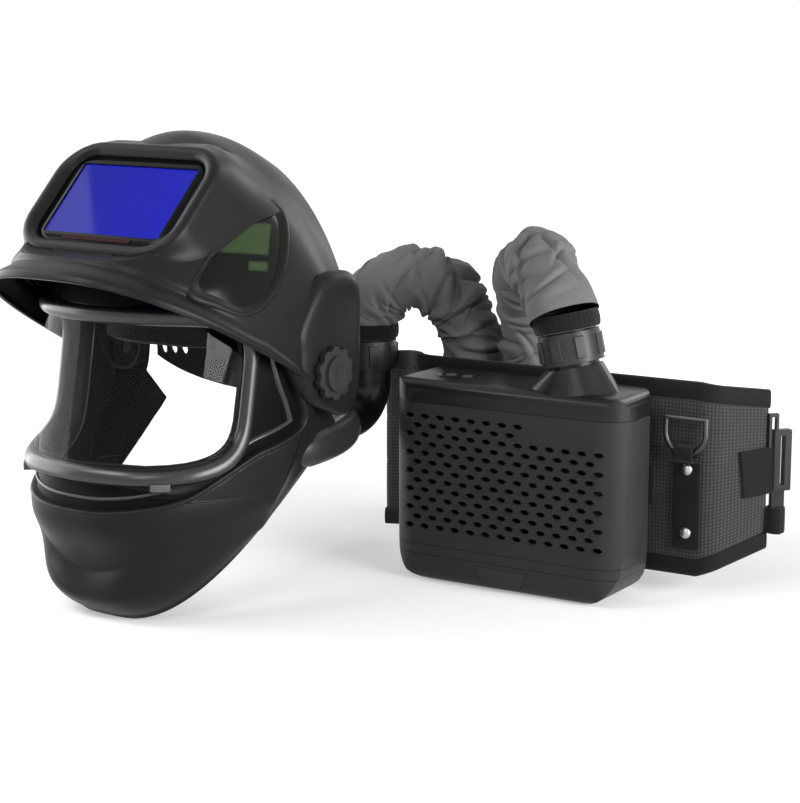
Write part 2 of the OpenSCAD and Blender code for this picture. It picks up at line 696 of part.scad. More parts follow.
// Control panel and its two buttons
module control_panel() {
    color("#1a1b1d") difference() {
        translate([panel_x, 0, blower_h - 1.5]) linear_extrude(2.1) round_rect(39.6, 21.6, 9.8);
        for (x = button_x) translate([x, 0, blower_h - 3]) cylinder(r = button_r + 0.4, h = 6);
    }
}
module button() {
    cylinder(r = button_r, h = 8);
    translate([0, 0, 6]) cylinder(r1 = button_r, r2 = button_r - 0.7, h = 3);
}
module power_button() {
    color("#a8abad") translate([button_x[0], 0, blower_h - 8]) button();
}
module flow_button() {
    color("#8d9092") translate([button_x[1], 0, blower_h - 8]) button();
}
module outlet_collar() {
    color("#1a1b1c") on_spout() translate([0, 0, spout_rise]) collar();
}

// Inside: filter, screen, gasket, fan, motor and board
filter_w = 0.72 * blower_w;
filter_h = cover_top - cover_low - 22;
filter_mid = (cover_top + cover_low) / 2;
module filter_plate(y, w, h, t) {
    translate([0, y, filter_mid]) rotate([-90, 0, 0]) linear_extrude(t) round_rect(w, h, 8);
}
module spark_screen() {
    color("#9a9da0") filter_plate(-half_d + 4, filter_w, filter_h, 2);
}
module particle_filter() {
    color("#e6e4da") filter_plate(-half_d + 6, filter_w, filter_h, cover_back + half_d - 9);
}
module filter_gasket() {
    color("#17181a") difference() {
        filter_plate(cover_back - 3, filter_w, filter_h, 3);
        filter_plate(cover_back - 4, filter_w - 16, filter_h - 16, 5);
    }
}
module fan_scroll() {
    color("#3a3b3d") translate([0, cover_back + 3, fan_h]) rotate([-90, 0, 0]) difference() {
        union() {
            cylinder(r = 50, h = 20);
            translate([0, -50, 0]) cube([58, 30, 20]);
        }
        translate([0, 0, -1]) cylinder(r = 44, h = 19);
        translate([10, -47, 2]) cube([60, 24, 15]);
    }
}
module fan_motor() {
    color("#55585b") translate([0, cover_back + 3, fan_h]) rotate([-90, 0, 0]) {
        translate([0, 0, 12]) cylinder(r = 16, h = 6);
        translate([0, 0, 1]) cylinder(r = 2.5, h = 12);
    }
}
module fan_wheel() {
    color("#1c1d1f") translate([0, cover_back + 4, fan_h]) rotate([-90, 0, 0]) difference() {
        union() {
            cylinder(r = 8, h = 9);
            translate([0, 0, 7]) cylinder(r = 38, h = 2);
            for (k = [0 : 17]) rotate([0, 0, 20 * k]) translate([20, -0.8, 0]) cube([17, 1.6, 8]);
        }
        translate([0, 0, -1]) cylinder(r = 2.5 + turn_room, h = 20);
    }
}
module circuit_board() {
    board_w = 34;
    board_h = 0.44 * blower_h;
    color("#1f5a36") translate([12.5 + board_w / 2 - half_w, cover_back + 14, fan_h]) {
        cube([board_w, 2, board_h], center = true);
        for (z = [9 - board_h / 2, board_h / 2 - 9])
            translate([0, -6, z]) rotate([-90, 0, 0]) cylinder(r = 2, h = 10, center = true);
    }
}
module housing_screws() {
    color("#6d7074") for (x = [-screw_x, screw_x]) for (z = screw_z)
        translate([x, half_d - 3, z]) rotate([-90, 0, 0]) cylinder(r = 3.5, h = 4);
}
module belt_bracket() {
    color("#1d1e20") difference() {
        translate([0, half_d + 4, 0.57 * blower_h]) rotate([90, 0, 0]) linear_extrude(8, center = true)
            round_rect(0.66 * blower_w, 0.45 * blower_h, 8);
        for (x = [-screw_x, screw_x]) translate([x, half_d - 4, screw_z[1]]) rotate([-90, 0, 0])
            cylinder(r = 5, h = 6);
    }
}

// Half of the belt: a flat stretch, a bend back, a slanted stretch and a bend out, as [out, depth, turn]
function bent(q, flat, slant) = let(
    turn = belt_turn * max(0, min(1, (q - flat) / belt_arc)),
    straight = max(0, min(slant, q - flat - belt_arc)),
    out = belt_turn * max(0, min(1, (q - flat - belt_arc - slant) / belt_arc)),
    rest = max(0, q - flat - 2 * belt_arc - slant))
    [min(q, flat) + belt_bend_r * (2 * sin(turn) - sin(turn - out)) + straight * cos(belt_turn) + rest,
     belt_front + belt_bend_r * (1 - 2 * cos(turn) + cos(turn - out)) + straight * sin(belt_turn),
     turn - out];
function belt_place(s) = let(p = s < 0 ? bent(-s, belt_left, 30) : bent(s, belt_right, belt_end))
    [sign(s) * p[0], p[1], sign(s) * p[2]];
// A point of the belt: length, share of its height, and depth behind its front
function belt_point(s, f, deep) = let(p = belt_place(s),
    grow = max(0, (abs(s) - belt_right) / (belt_end - belt_right)),
    low = belt_low + (s < 0 ? -6 : 22) * grow, top = belt_low + belt_h + 3 - 8 * grow)
    [p[0] - deep * sin(p[2]), p[1] + deep * cos(p[2]), mix(low, top, f)];
module belt_pad() {
    at = function(i) mix(-belt_end, belt_end, i / 34);
    heights = [0.02, 0.1, 0.22, 0.36, 0.5, 0.64, 0.78, 0.9, 0.98];
    channel = function(f) f == 0.36 || f == 0.64;
    front_at = function(f) abs(f - 0.5) > 0.35 ? 1.5 : channel(f) ? 1.2 : 0;
    back_at = function(f) abs(f - 0.5) > 0.35 ? belt_t * 0.5 : channel(f) ? belt_t - 2.5 : belt_t;
    front = [for (i = [0 : 34]) [for (f = heights) belt_point(at(i), f, front_at(f))]];
    back = [for (i = [0 : 34]) [for (f = heights) belt_point(at(i), f, back_at(f))]];
    color("#3a3d40") grid_wall(back, front);
}
// Smooth tape round the pad's edge
module belt_binding() {
    color("#1c1d1f") for (top = [0, 1]) {
        path = [for (i = [0 : 34]) belt_point(mix(-belt_end, belt_end, i / 34), top, belt_t * 0.35)];
        loft(loops_on(path, [0, 0, 1], function(i) 8, function(i) belt_t * 0.38, 8));
    }
}
// Places a half of the buckle past the right end of the belt, or folded in behind the left end
module on_webbing(side, z) {
    s = side > 0 ? belt_end + 8 : 30 - belt_end;
    p = belt_point(s, 0, side > 0 ? 0 : belt_t + 7);
    translate([p[0], p[1], belt_low + z]) rotate([0, 0, belt_place(s)[2]]) children();
}
// Ends of the waist webbing, each with its spare length rolled up under the buckle
module belt_webbing() {
    right = [for (i = [0 : 8]) belt_point(belt_end + mix(-26, 6, i / 8), 0.5, -1.2)];
    left = [for (i = [0 : 8]) belt_point(mix(4, 30, i / 8) - belt_end, 0.5, belt_t + 2.4)];
    color("#151618") {
        for (path = [left, right]) loft(loops_on(path, [0, 0, 1], function(i) 20, function(i) 1.3, 8));
        for (side = [-1, 1]) on_webbing(side, 28) cylinder(r = 9, h = 22);
    }
}
module buckle() {
    color("#101113") for (side = [-1, 1]) {
        on_webbing(side, 90) difference() {
            translate([side * 3, 0, 0]) cube([16, 7, 52], center = true);
            translate([side * 3, 0, 0]) cube([4, 9, 42], center = true);
        }
        on_webbing(side, 113) difference() {
            translate([side * -5, 0, 0]) cube([9, 4, 34], center = true);
            translate([side * -5, 0, 0]) cube([4, 6, 28], center = true);
        }
        on_webbing(side, 57) cube([12, 5, 16], center = true);
    }
}

// Ring and the webbing loop that holds it, on the right of the blower
ring_x = half_w + 22;
ring_y = belt_front - 8;
ring_z = 0.7 * blower_h;
ring_r = 18;
wire_r = 2.3;
module d_ring() {
    color("#9b9ea2") translate([ring_x, ring_y, ring_z + ring_r]) rotate([90, 0, 0]) {
        rotate([0, 0, 180]) rotate_extrude(angle = 180) translate([ring_r, 0]) circle(r = wire_r, $fn = 24);
        for (side = [-1, 1]) translate([side * ring_r, 0, 0]) {
            rotate([-90, 0, 0]) cylinder(r = wire_r, h = 12, $fn = 24);
            translate([0, 12, 0]) sphere(r = wire_r, $fn = 24);
        }
        translate([0, 12, 0]) rotate([0, 90, 0])
            cylinder(r = wire_r, h = 2 * ring_r, center = true, $fn = 24);
    }
}
module ring_loop() {
    strap_low = belt_low + 16;
    color("#191a1c") {
        translate([ring_x - 12, belt_front - 3.2, strap_low]) cube([24, 4, ring_z - strap_low - 5]);
        translate([ring_x, ring_y, ring_z]) rotate([0, 90, 0]) difference() {
            cylinder(r = 7.4, h = 18, center = true);
            cylinder(r = 5.6, h = 30, center = true);
        }
        for (z = [ring_z - 14, strap_low + 14]) translate([ring_x, belt_front - 3, z]) rotate([90, 0, 0])
            cylinder(r = 5, h = 2);
    }
}

// Route of the hose, from the helmet's collar to the blower's
hose_gap = 1.2;
outlet_reach = spout_rise + collar_h + hose_gap;
outlet = [spout_x + 6 - outlet_reach * sin(spout_lean), 0, blower_h - 4 + outlet_reach * cos(spout_lean)];
inlet = [inlet_x, inlet_y, elbow_collar_low + collar_h + hose_gap];
outlet_dir = [-sin(spout_lean), 0, cos(spout_lean)];
route = concat(
    [inlet, inlet + [0, 0, 12], inlet + [3, 0, 26], inlet + [14, 1, 44], inlet + [38, 8, 55]],
    [[-120, 70, 240], [-104, 84, 208], [-96, 92, 165], [-99, 104, 120], [-100, 124, 75],
     [-88, 150, 42], [-62, 168, 31], [-32, 166, 33], [-14, 146, 50], [-14, 122, 88], [-26, 102, 125],
     [-35, 92, 165], [-39, 86, 214], [-33, 70, 252], [-14, 45, 272], [12, 18, 267]],
    [outlet + outlet_dir * 14, outlet]);
hose_path = smooth_path(route, 2);
sleeve_path = smooth_path(route, 5);

module breathing_hose() {
    loops = function(r) loops_on(hose_path, [1, 0, 0], function(i) r, function(i) r, 8);
    color("#303236") ring_solid(concat(loops(spigot_r - 2), backwards(loops(spigot_r - 4))));
}
module hose_sleeve() {
    last = len(sleeve_path) - 1;
    swell = function(i) i < 2 || i > last - 2 ? -1.5 : i % 2 == 0 ? 1.5 : -1.5;
    loops = function(inset) loops_on(sleeve_path, [1, 0, 0],
        function(i) sleeve_d / 2 + swell(i) - inset, function(i) sleeve_d / 2 + swell(i) - inset, 10);
    color("#3f4246") ring_solid(concat(loops(0), backwards(loops(3))));
}
module cuff(place, dir) {
    turn = acos(dir[2]);
    translate(place) rotate([0, -turn, 0]) difference() {
        cylinder(d = sleeve_d + 1.2, h = 14);
        translate([0, 0, -1]) cylinder(d = sleeve_d - 2.9, h = 16);
    }
}
module sleeve_cuffs() {
    color("#141517") {
        cuff(inlet, [0, 0, 1]);
        cuff(outlet, outlet_dir);
    }
}

// Draws one piece, or all of them
face_shell();
visor_frame();
visor_gasket();
clear_visor();
visor_catches();
face_seal();
air_duct();
duct_elbow();
elbow_collar();
pivot_bolts();
shield_shell();
lens_housing();
cover_lens();
blue_filter();
filter_case();
sensor_strip();
side_windows();
ear_pads();
knob_left();
knob_right();
headband();
brow_pad();
crown_straps();
rear_cradle();
side_arms();
ratchet_knob();
rear_housing();
top_housing();
filter_cover();
battery_pack();
battery_latch();
catch_left();
catch_right();
control_panel();
power_button();
flow_button();
outlet_collar();
particle_filter();
spark_screen();
filter_gasket();
fan_scroll();
fan_wheel();
fan_motor();
circuit_board();
housing_screws();
belt_bracket();
belt_pad();
belt_binding();
belt_webbing();
buckle();
d_ring();
ring_loop();
breathing_hose();
hose_sleeve();
sleeve_cuffs();
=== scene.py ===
"""Looks of a powered air respirator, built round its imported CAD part."""

import math

import bpy
import numpy as np
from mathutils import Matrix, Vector
from mathutils.bvhtree import BVHTree


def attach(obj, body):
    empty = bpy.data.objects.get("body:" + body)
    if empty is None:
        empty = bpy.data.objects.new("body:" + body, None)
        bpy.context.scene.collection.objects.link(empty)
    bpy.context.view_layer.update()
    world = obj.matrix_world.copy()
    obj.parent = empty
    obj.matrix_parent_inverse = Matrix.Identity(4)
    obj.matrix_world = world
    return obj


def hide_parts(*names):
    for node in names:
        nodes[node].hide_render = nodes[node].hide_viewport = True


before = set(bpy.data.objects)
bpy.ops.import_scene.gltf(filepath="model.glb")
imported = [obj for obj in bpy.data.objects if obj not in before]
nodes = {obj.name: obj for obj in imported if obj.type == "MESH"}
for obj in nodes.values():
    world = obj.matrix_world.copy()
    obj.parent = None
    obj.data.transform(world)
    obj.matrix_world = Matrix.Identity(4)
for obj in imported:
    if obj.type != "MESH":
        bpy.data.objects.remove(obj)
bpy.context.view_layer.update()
MM = 0.001

# Sizes shared with the CAD part, in millimetres
CROWN = 161.0
SHELL_HALF_W = 115.0
SHELL_WALL = 3.0
SHIELD_HALF_W = 123.0
EAR_HOLE = 20.0
RAISE = math.radians(45)
TURN = math.radians(4)
JAW_SLOPE = 40.75
JAW_R, JAW_SQUARE = 0.367 * CROWN, 2.6
CHIN_R = 1.46 * CROWN
HINGE_H = CHIN_R * math.sin(math.radians(JAW_SLOPE) + math.asin(JAW_R / CHIN_R)) + 0.4
VIEW_W, VIEW_H = 124.0, 72.0
LENS_Y, LENS_U = 1.105 * CROWN, 0.14 * CROWN
VISOR_H, VISOR_RIM = 0.85 * CROWN, 13.0
VISOR_HALF_W = 0.88 * SHELL_HALF_W
VISOR_DEPTH, VISOR_CENTRE, VISOR_MID = 0.56 * CROWN, 0.447 * CROWN, -0.04 * CROWN
VISOR_LEAN = math.radians(10)
VISOR_ARC, VISOR_SQUARE = math.radians(92) * VISOR_HALF_W, 5
HALF_W, HALF_D, BLOWER_H = 113.5, 35.0, 176.0
SLEEVE_D = 55.0
ELBOW_X, ELBOW_Y = 0.3 * SHELL_HALF_W, 1.07 * CROWN
INLET = np.array([-186.0, 48.0, HINGE_H - 0.17 * CROWN + 27.2])
BELT_H, BELT_T, BELT_LOW = 147.0, 10.0, 25.0


# Mesh helpers

def stacked(*columns):
    """Points, or places on a cloth, from columns that share one grid."""
    return np.stack(np.broadcast_arrays(*columns), -1)


def full_turn(count):
    """Angles at equal steps round a circle."""
    return np.linspace(0, 2 * math.pi, count, endpoint=False)


def signed_power(v, power):
    """A power that keeps the sign, for squarish loops."""
    return np.sign(v) * np.abs(v) ** power


def headings(path):
    """Unit directions along a path."""
    ahead = np.gradient(path, axis=0)
    return ahead / np.linalg.norm(ahead, axis=1, keepdims=True)


def run_along(path):
    """Length from the start of a path to each of its points."""
    return np.concatenate([[0], np.cumsum(np.linalg.norm(np.diff(path, axis=0), axis=1))])


def rotate_x(points, angle):
    x, y, z = np.moveaxis(points, -1, 0)
    c, s = math.cos(angle), math.sin(angle)
    return np.stack([x, y * c - z * s, y * s + z * c], -1)


def turned(x, y):
    """Turns helmet directions about the upright axis into the shared frame."""
    c, s = math.cos(TURN), math.sin(TURN)
    return x * c + y * s, y * c - x * s


HELMET = np.array([*(INLET[:2] - turned(ELBOW_X, ELBOW_Y)), HINGE_H])


def on_helmet(points):
    """Helmet frame to the shared frame, both in millimetres."""
    return np.stack([*turned(points[..., 0], points[..., 1]), points[..., 2]], -1) + HELMET


def on_shield(points):
    """Closed shield to its raised place in the shared frame."""
    return on_helmet(rotate_x(points, -RAISE))


def grid_faces(points, wrap=False, close=False, keep=None):
    """Quads of a grid of points; wrap joins the last column to the first, close the last row to the first."""
    rows, cols = points.shape[:2]
    faces = []
    for i in range(rows if close else rows - 1):
        for j in range(cols if wrap else cols - 1):
            if keep is None or keep[i, j]:
                up, on = (i + 1) % rows, (j + 1) % cols
                faces.append((i * cols + j, i * cols + on, up * cols + on, up * cols + j))
    return faces


def end_faces(points):
    """Faces that shut both ends of a tube made of rings."""
    rows, cols = points.shape[:2]
    return [tuple(range(cols))[::-1], tuple(range((rows - 1) * cols, rows * cols))]


def turned_over(faces):
    """The same faces, seen from their other side."""
    return [tuple(reversed(face)) for face in faces]


def piece(name, points, faces, body, material, replaced=(), uv=None):
    """A smooth mesh piece in the shared frame that rides on a body; points in no face are left out."""
    used = np.unique(np.concatenate([np.asarray(face) for face in faces]))
    place = np.zeros(used[-1] + 1, int)
    place[used] = np.arange(len(used))
    mesh = bpy.data.meshes.new(name)
    flat = np.asarray(points).reshape(-1, 3)[used] * MM
    mesh.from_pydata(flat.tolist(), [], [place[list(face)].tolist() for face in faces])
    mesh.validate()
    if uv is not None:
        layer = mesh.uv_layers.new(name="cloth")
        corners = np.zeros(len(mesh.loops), int)
        mesh.loops.foreach_get("vertex_index", corners)
        layer.data.foreach_set("uv", np.asarray(uv).reshape(-1, 2)[used][corners].ravel())
    mesh.shade_smooth()
    made = bpy.data.objects.new(name, mesh)
    bpy.context.scene.collection.objects.link(made)
    mesh.materials.append(material)
    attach(made, body)
    if replaced:
        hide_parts(*replaced)
    return made


def shield_pair(name, points, material, replaced=(), uv=None):
    """A piece on the left of the shield, which stands for the CAD nodes, and its mirror image."""
    faces = grid_faces(points, wrap=True)
    piece(f"{name}_left", on_helmet(points), faces, "flip_shield", material, replaced, uv)
    mirrored = on_helmet(points * [-1, 1, 1])
    piece(f"{name}_right", mirrored, turned_over(faces), "flip_shield", material, (), uv)


def add_wall(made, thickness, lining=None):
    """Gives an open surface a wall towards its inside, with another material there if one is named."""
    wall = made.modifiers.new("wall", "SOLIDIFY")
    wall.thickness = thickness * MM
    wall.offset = -1
    if lining:
        made.data.materials.append(lining)
        wall.material_offset = 1


def surface_tree(points):
    """A grid of points as a surface that rays can be cast on."""
    return BVHTree.FromPolygons(points.reshape(-1, 3).tolist(), grid_faces(points))


def curve_between(a, b, c, d, f):
    """Smooth curve from b to c, with a before and d after them, at shares f of the way."""
    return 0.5 * (2 * b + (c - a) * f + (2 * a - 5 * b + 4 * c - d) * f ** 2
                  + (3 * b - 3 * c + d - a) * f ** 3)


def smooth_curve(points, steps):
    """A closed smooth curve through flat points."""
    p = np.asarray(points, float)
    f = (np.arange(steps) / steps)[:, None, None]
    curve = curve_between(np.roll(p, 1, 0), p, np.roll(p, -1, 0), np.roll(p, -2, 0), f)
    return curve.transpose(1, 0, 2).reshape(-1, 2)


def smooth_path(points, spacing):
    """A smooth open path through the points, cut in equal lengths, with the length up to each cut."""
    p = np.concatenate([points[:1], points, points[-1:]])
    f = np.linspace(0, 1, 24, endpoint=False)[:, None]
    spans = [curve_between(*four, f) for four in zip(p[:-3], p[1:-2], p[2:-1], p[3:])]
    path = np.concatenate(spans + [points[-1:]])
    run = run_along(path)
    even = np.linspace(0, run[-1], int(run[-1] / spacing) + 1)
    return np.stack([np.interp(even, run, column) for column in path.T], -1), even


def soft_table(table, width=3.0):
    """A table of angle against value, as a function that is smoothed over a width in degrees."""
    step, reach = 0.25, 40
    x = np.arange(-110, 190, step)
    kernel = np.exp(-0.5 * (np.arange(-reach, reach + 1) * step / width) ** 2)
    y = np.interp(x, *np.asarray(table, float).T)
    soft = np.convolve(np.pad(y, reach, "edge"), kernel / kernel.sum(), "valid")
    return lambda angle: np.interp(angle, x, soft)


def smoothstep(low, high, v):
    t = np.clip((np.asarray(v, float) - low) / (high - low), 0, 1)
    return t * t * (3 - 2 * t)


# Materials

# Scale at which the bands of a wave texture are a metre apart
WAVE_SCALE = 0.314
# Sockets of a node that mixes colours
MIX_SHARE, MIX_FIRST, MIX_SECOND, MIX_OUT = 0, 6, 7, 2


def set_inputs(tree, node, values):
    """Sets inputs of a node, by name or number: links another node's output, or puts in a value."""
    for key, value in values.items():
        if isinstance(value, bpy.types.NodeSocket):
            tree.links.new(value, node.inputs[key])
        else:
            node.inputs[key].default_value = value


def add_node(tree, kind, inputs, **settings):
    made = tree.nodes.new(kind)
    for key, value in settings.items():
        setattr(made, key, value)
    set_inputs(tree, made, inputs)
    return made


def new_material(name):
    made = bpy.data.materials.new(name)
    made.use_nodes = True
    return made, made.node_tree, made.node_tree.nodes["Principled BSDF"]


def place_on(tree, kind):
    """Coordinates of the shaded point, of the kind that is named."""
    return tree.nodes.new("ShaderNodeTexCoord").outputs[kind]


def directions(tree, kind):
    """X, Y and Z of the shaded point's coordinates."""
    return add_node(tree, "ShaderNodeSeparateXYZ", {"Vector": place_on(tree, kind)}).outputs


def spread(tree, source, low, high):
    """Maps a 0 to 1 signal to a range."""
    values = {"Value": source, "To Min": low, "To Max": high}
    return add_node(tree, "ShaderNodeMapRange", values).outputs["Result"]


def colours(tree, source, low, high):
    """Mixes two colours by a 0 to 1 signal."""
    values = {MIX_SHARE: source, MIX_FIRST: (*low, 1), MIX_SECOND: (*high, 1)}
    return add_node(tree, "ShaderNodeMix", values, data_type="RGBA").outputs[MIX_OUT]


def calculate(tree, operation, first, second):
    """One sum on two signals."""
    return add_node(tree, "ShaderNodeMath", {0: first, 1: second}, operation=operation).outputs["Value"]


def between(tree, source, low, high):
    """1 where a signal lies between two values, with soft edges."""
    soft = 0.012
    edges = []
    for start, end in ((low - soft, low + soft), (high + soft, high - soft)):
        values = {"Value": source, "From Min": start, "From Max": end}
        edges.append(add_node(tree, "ShaderNodeMapRange", values).outputs["Result"])
    return calculate(tree, "MULTIPLY", *edges)


def noise(tree, scale, detail):
    """Cloudy signal from 0 to 1."""
    values = {"Vector": place_on(tree, "Object"), "Scale": scale, "Detail": detail}
    return add_node(tree, "ShaderNodeTexNoise", values).outputs["Fac"]


def bump(tree, height, strength, distance):
    """Normals of a surface with a height signal."""
    values = {"Height": height, "Strength": strength, "Distance": distance * MM}
    return add_node(tree, "ShaderNodeBump", values).outputs["Normal"]


def shades(tone, low, high):
    """Two shades round a grey level or a colour."""
    middle = np.ones(3) * tone
    return middle * low, middle * high


def plastic(name, tone, rough, grain=900.0, depth=0.05, shine=0.22):
    """Moulded plastic: fine spark grain, uneven gloss and faint handling marks."""
    made, tree, shader = new_material(name)
    set_inputs(tree, shader, {
        "Base Color": colours(tree, noise(tree, 14.0, 6.0), *shades(tone, 0.75, 1.25)),
        "Roughness": spread(tree, noise(tree, 55.0, 5.0), rough - 0.06, rough + 0.08),
        "Specular IOR Level": shine,
        "Normal": bump(tree, noise(tree, grain, 2.0), 0.35, depth),
    })
    return made


def weave(tree, pitch):
    """Height of a plain weave with threads a pitch apart, in millimetres."""
    values = {"Vector": place_on(tree, "UV"), "Scale": WAVE_SCALE / (pitch * MM), "Distortion": 0.6,
              "Detail": 1.0, "Detail Scale": 3.0}
    threads = [add_node(tree, "ShaderNodeTexWave", values, bands_direction=direction).outputs["Fac"]
               for direction in ("X", "Y")]
    return calculate(tree, "MULTIPLY", *threads)


def cloth(name, tone, pitch, depth, rough=0.9):
    """Woven cloth: thread bump, tone between threads and slow fading."""
    made, tree, shader = new_material(name)
    threads = weave(tree, pitch)
    tones = colours(tree, threads, *shades(tone, 0.55, 1.3))
    fading = colours(tree, noise(tree, 18.0, 4.0), *shades(1.0, 0.6, 1.0))
    values = {MIX_SHARE: 0.6, MIX_FIRST: tones, MIX_SECOND: fading}
    both = add_node(tree, "ShaderNodeMix", values, data_type="RGBA", blend_type="MULTIPLY")
    set_inputs(tree, shader, {
        "Base Color": both.outputs[MIX_OUT],
        "Roughness": rough,
        "Specular IOR Level": 0.12,
        "Sheen Weight": 0.12,
        "Normal": bump(tree, threads, 0.8, depth),
    })
    return made


def clear_pane(name, tint, mirror_share):
    """Thin clear sheet: what lies behind shows through, with a mirror sheen."""
    made, tree, shader = new_material(name)
    tree.nodes.remove(shader)
    through = add_node(tree, "ShaderNodeBsdfTransparent", {"Color": (*tint, 1)}).outputs["BSDF"]
    mirror = add_node(tree, "ShaderNodeBsdfGlossy", {"Roughness": 0.03}).outputs["BSDF"]
    facing = add_node(tree, "ShaderNodeFresnel", {"IOR": 1.5}).outputs["Fac"]
    smears = spread(tree, noise(tree, 9.0, 4.0), 0.85 * mirror_share, 1.15 * mirror_share)
    share = calculate(tree, "MULTIPLY", smears, facing)
    mix = add_node(tree, "ShaderNodeMixShader", {0: share, 1: through, 2: mirror})
    set_inputs(tree, tree.nodes["Material Output"], {"Surface": mix.outputs["Shader"]})
    return made


def metal(name, tone, rough):
    """Bare metal with rubbed, uneven gloss."""
    made, tree, shader = new_material(name)
    set_inputs(tree, shader, {
        "Base Color": colours(tree, noise(tree, 30.0, 5.0), *shades(tone, 0.8, 1.2)),
        "Metallic": 1.0,
        "Roughness": spread(tree, noise(tree, 220.0, 6.0), rough - 0.08, rough + 0.12),
        "Normal": bump(tree, noise(tree, 600.0, 2.0), 0.15, 0.03),
    })
    return made


def filter_blue_painted_glow():
    """Coated filter: royal blue that deepens towards one side, with a faint painted glow."""
    made, tree, shader = new_material("filter_blue_painted_glow")
    slope = directions(tree, "Generated")["X"]
    tone = colours(tree, slope, (0.003, 0.006, 0.27), (0.007, 0.011, 0.42))
    set_inputs(tree, shader, {
        "Base Color": tone,
        # Painted light: the blue glows faintly, which keeps its colour in the dim surroundings
        "Emission Color": tone,
        "Emission Strength": 0.15,
        "Roughness": spread(tree, noise(tree, 40.0, 4.0), 0.03, 0.06),
        "Specular IOR Level": 0.1,
    })
    return made


def window_painted_light():
    """Side window: near black, with green bands painted on it as light seen in the pane, a field and a short
    strip below it.
    """
    made, tree, shader = new_material("window_painted_light")
    place = directions(tree, "UV")
    field = between(tree, place["Y"], 0.52, 0.81)
    strip = between(tree, place["Y"], 0.37, 0.45)
    short = between(tree, place["X"], 0.62, 1.2)
    narrow = between(tree, place["X"], -1.0, 0.84)
    both = calculate(tree, "MAXIMUM", field, calculate(tree, "MULTIPLY", strip, short))
    green = calculate(tree, "MULTIPLY", both, narrow)
    set_inputs(tree, shader, {
        # Painted light: the pane is green only in the field and the strip, near black elsewhere
        "Base Color": colours(tree, green, (0.004, 0.005, 0.004), (0.03, 0.05, 0.02)),
        "Roughness": spread(tree, noise(tree, 40.0, 4.0), 0.1, 0.2),
        "Specular IOR Level": 0.12,
    })
    return made


SHELL = plastic("shell_plastic", 0.01, 0.33, shine=0.12)
# Sunk field round the visor: its own black plastic, darkened further as painted shade of the recess
FIELD_PAINTED_SHADE = plastic("field_plastic_painted_shade", 0.003, 0.4, shine=0.05)
FRAME = plastic("frame_plastic", 0.014, 0.28, grain=300.0, depth=0.02, shine=0.5)
# Plastic of the duct, elbow and collars: the shell's black made lighter as painted light, for parts that lie
# in shade
DUCT = plastic("duct_plastic_painted_light", 0.02, 0.35, grain=300.0, depth=0.02, shine=0.3)
GLOSS = plastic("gloss_plastic", 0.006, 0.24, grain=300.0, depth=0.02)
HOUSING = plastic("housing_plastic", 0.024, 0.42, grain=620.0, depth=0.12, shine=0.14)
DECK = plastic("deck_plastic", 0.008, 0.32, grain=700.0, depth=0.04)
INNER = plastic("inner_plastic", 0.0025, 0.7, depth=0.004, shine=0.05)
LATCH = plastic("latch_plastic", 0.022, 0.6, grain=350.0, depth=0.3)
PALE = plastic("pale_plastic", 0.1, 0.4)
RUBBER = plastic("rubber", 0.005, 0.75, grain=400.0, shine=0.12)
RED_PRINT = plastic("red_print", (0.024, 0.0015, 0.004), 0.5, shine=0.06)
BLACK_GLASS = plastic("black_glass", 0.0025, 0.14, grain=50.0, depth=0.005, shine=0.1)
PAPER = plastic("filter_paper", (0.66, 0.64, 0.58), 0.9, grain=500.0)
BOARD = plastic("board_green", (0.014, 0.08, 0.03), 0.4)
STEEL = metal("steel", 0.42, 0.3)
DARK_STEEL = metal("dark_steel", 0.07, 0.38)
SCREEN = metal("screen_steel", 0.004, 0.6)
CLEAR = clear_pane("clear_pane", (0.95, 0.96, 0.96), 0.28)
COVER = clear_pane("cover_pane", (0.92, 0.93, 0.98), 0.03)
BLUE_PAINTED_GLOW = filter_blue_painted_glow()
GREEN_PAINTED_LIGHT = window_painted_light()
SLEEVE_CLOTH = cloth("sleeve_cloth", 0.22, 0.6, 0.04)
BELT_CLOTH = cloth("belt_cloth", 0.06, 3.2, 0.5)
BINDING = cloth("binding_tape", 0.009, 0.9, 0.12, 0.7)
WEBBING = cloth("webbing", 0.009, 1.6, 0.3, 0.75)
FOAM = cloth("foam_cloth", 0.016, 1.4, 0.2)
SEAL_CLOTH = cloth("seal_cloth", 0.008, 1.2, 0.2)


# Camera, lights and floor

# Camera: focal length and height of the picture in pixels, sensor in millimetres, place and aim in metres
FOCAL, PICTURE_H, SENSOR = 2150, 803, 36.0
CAMERA_AT, CAMERA_AIM = (0.8596, -1.5700, 0.491), (-0.0980, -0.0376, 0.156)
# Lamps: place, aim, size and watts
LAMPS = {
    "key": ((-0.9, -1.2, 1.6), (-0.2, -0.2, 0.1), (0.9, 0.6), 13),
    "front": ((0.3, -1.9, 1.5), (-0.05, -0.05, 0.15), (0.8, 0.8), 10),
    "left_high": ((-1.53, -0.28, 1.2), (-0.24, -0.23, 0.335), (0.9, 0.6), 4),
    "left_low": ((-1.5, -0.43, 0.45), (0.0, -0.43, 0.45), (1.46, 0.9), 16),
    "side": ((1.8, -0.3, 0.55), (0.0, 0.0, 0.2), (1.2, 1.0), 52),
    "rim": ((0.25, 1.8, 0.95), (-0.15, 0.0, 0.3), (0.7, 0.8), 6),
}
# Floor: half its width, and its height just below the part, in metres
FLOOR_REACH, FLOOR_Z = 6.0, -0.0005


def add_aimed(name, data, place, aim):
    """A camera or lamp that looks from a place towards an aim."""
    made = bpy.data.objects.new(name, data)
    made.location = place
    made.rotation_euler = (Vector(aim) - Vector(place)).to_track_quat("-Z", "Y").to_euler()
    bpy.context.scene.collection.objects.link(made)
    return made


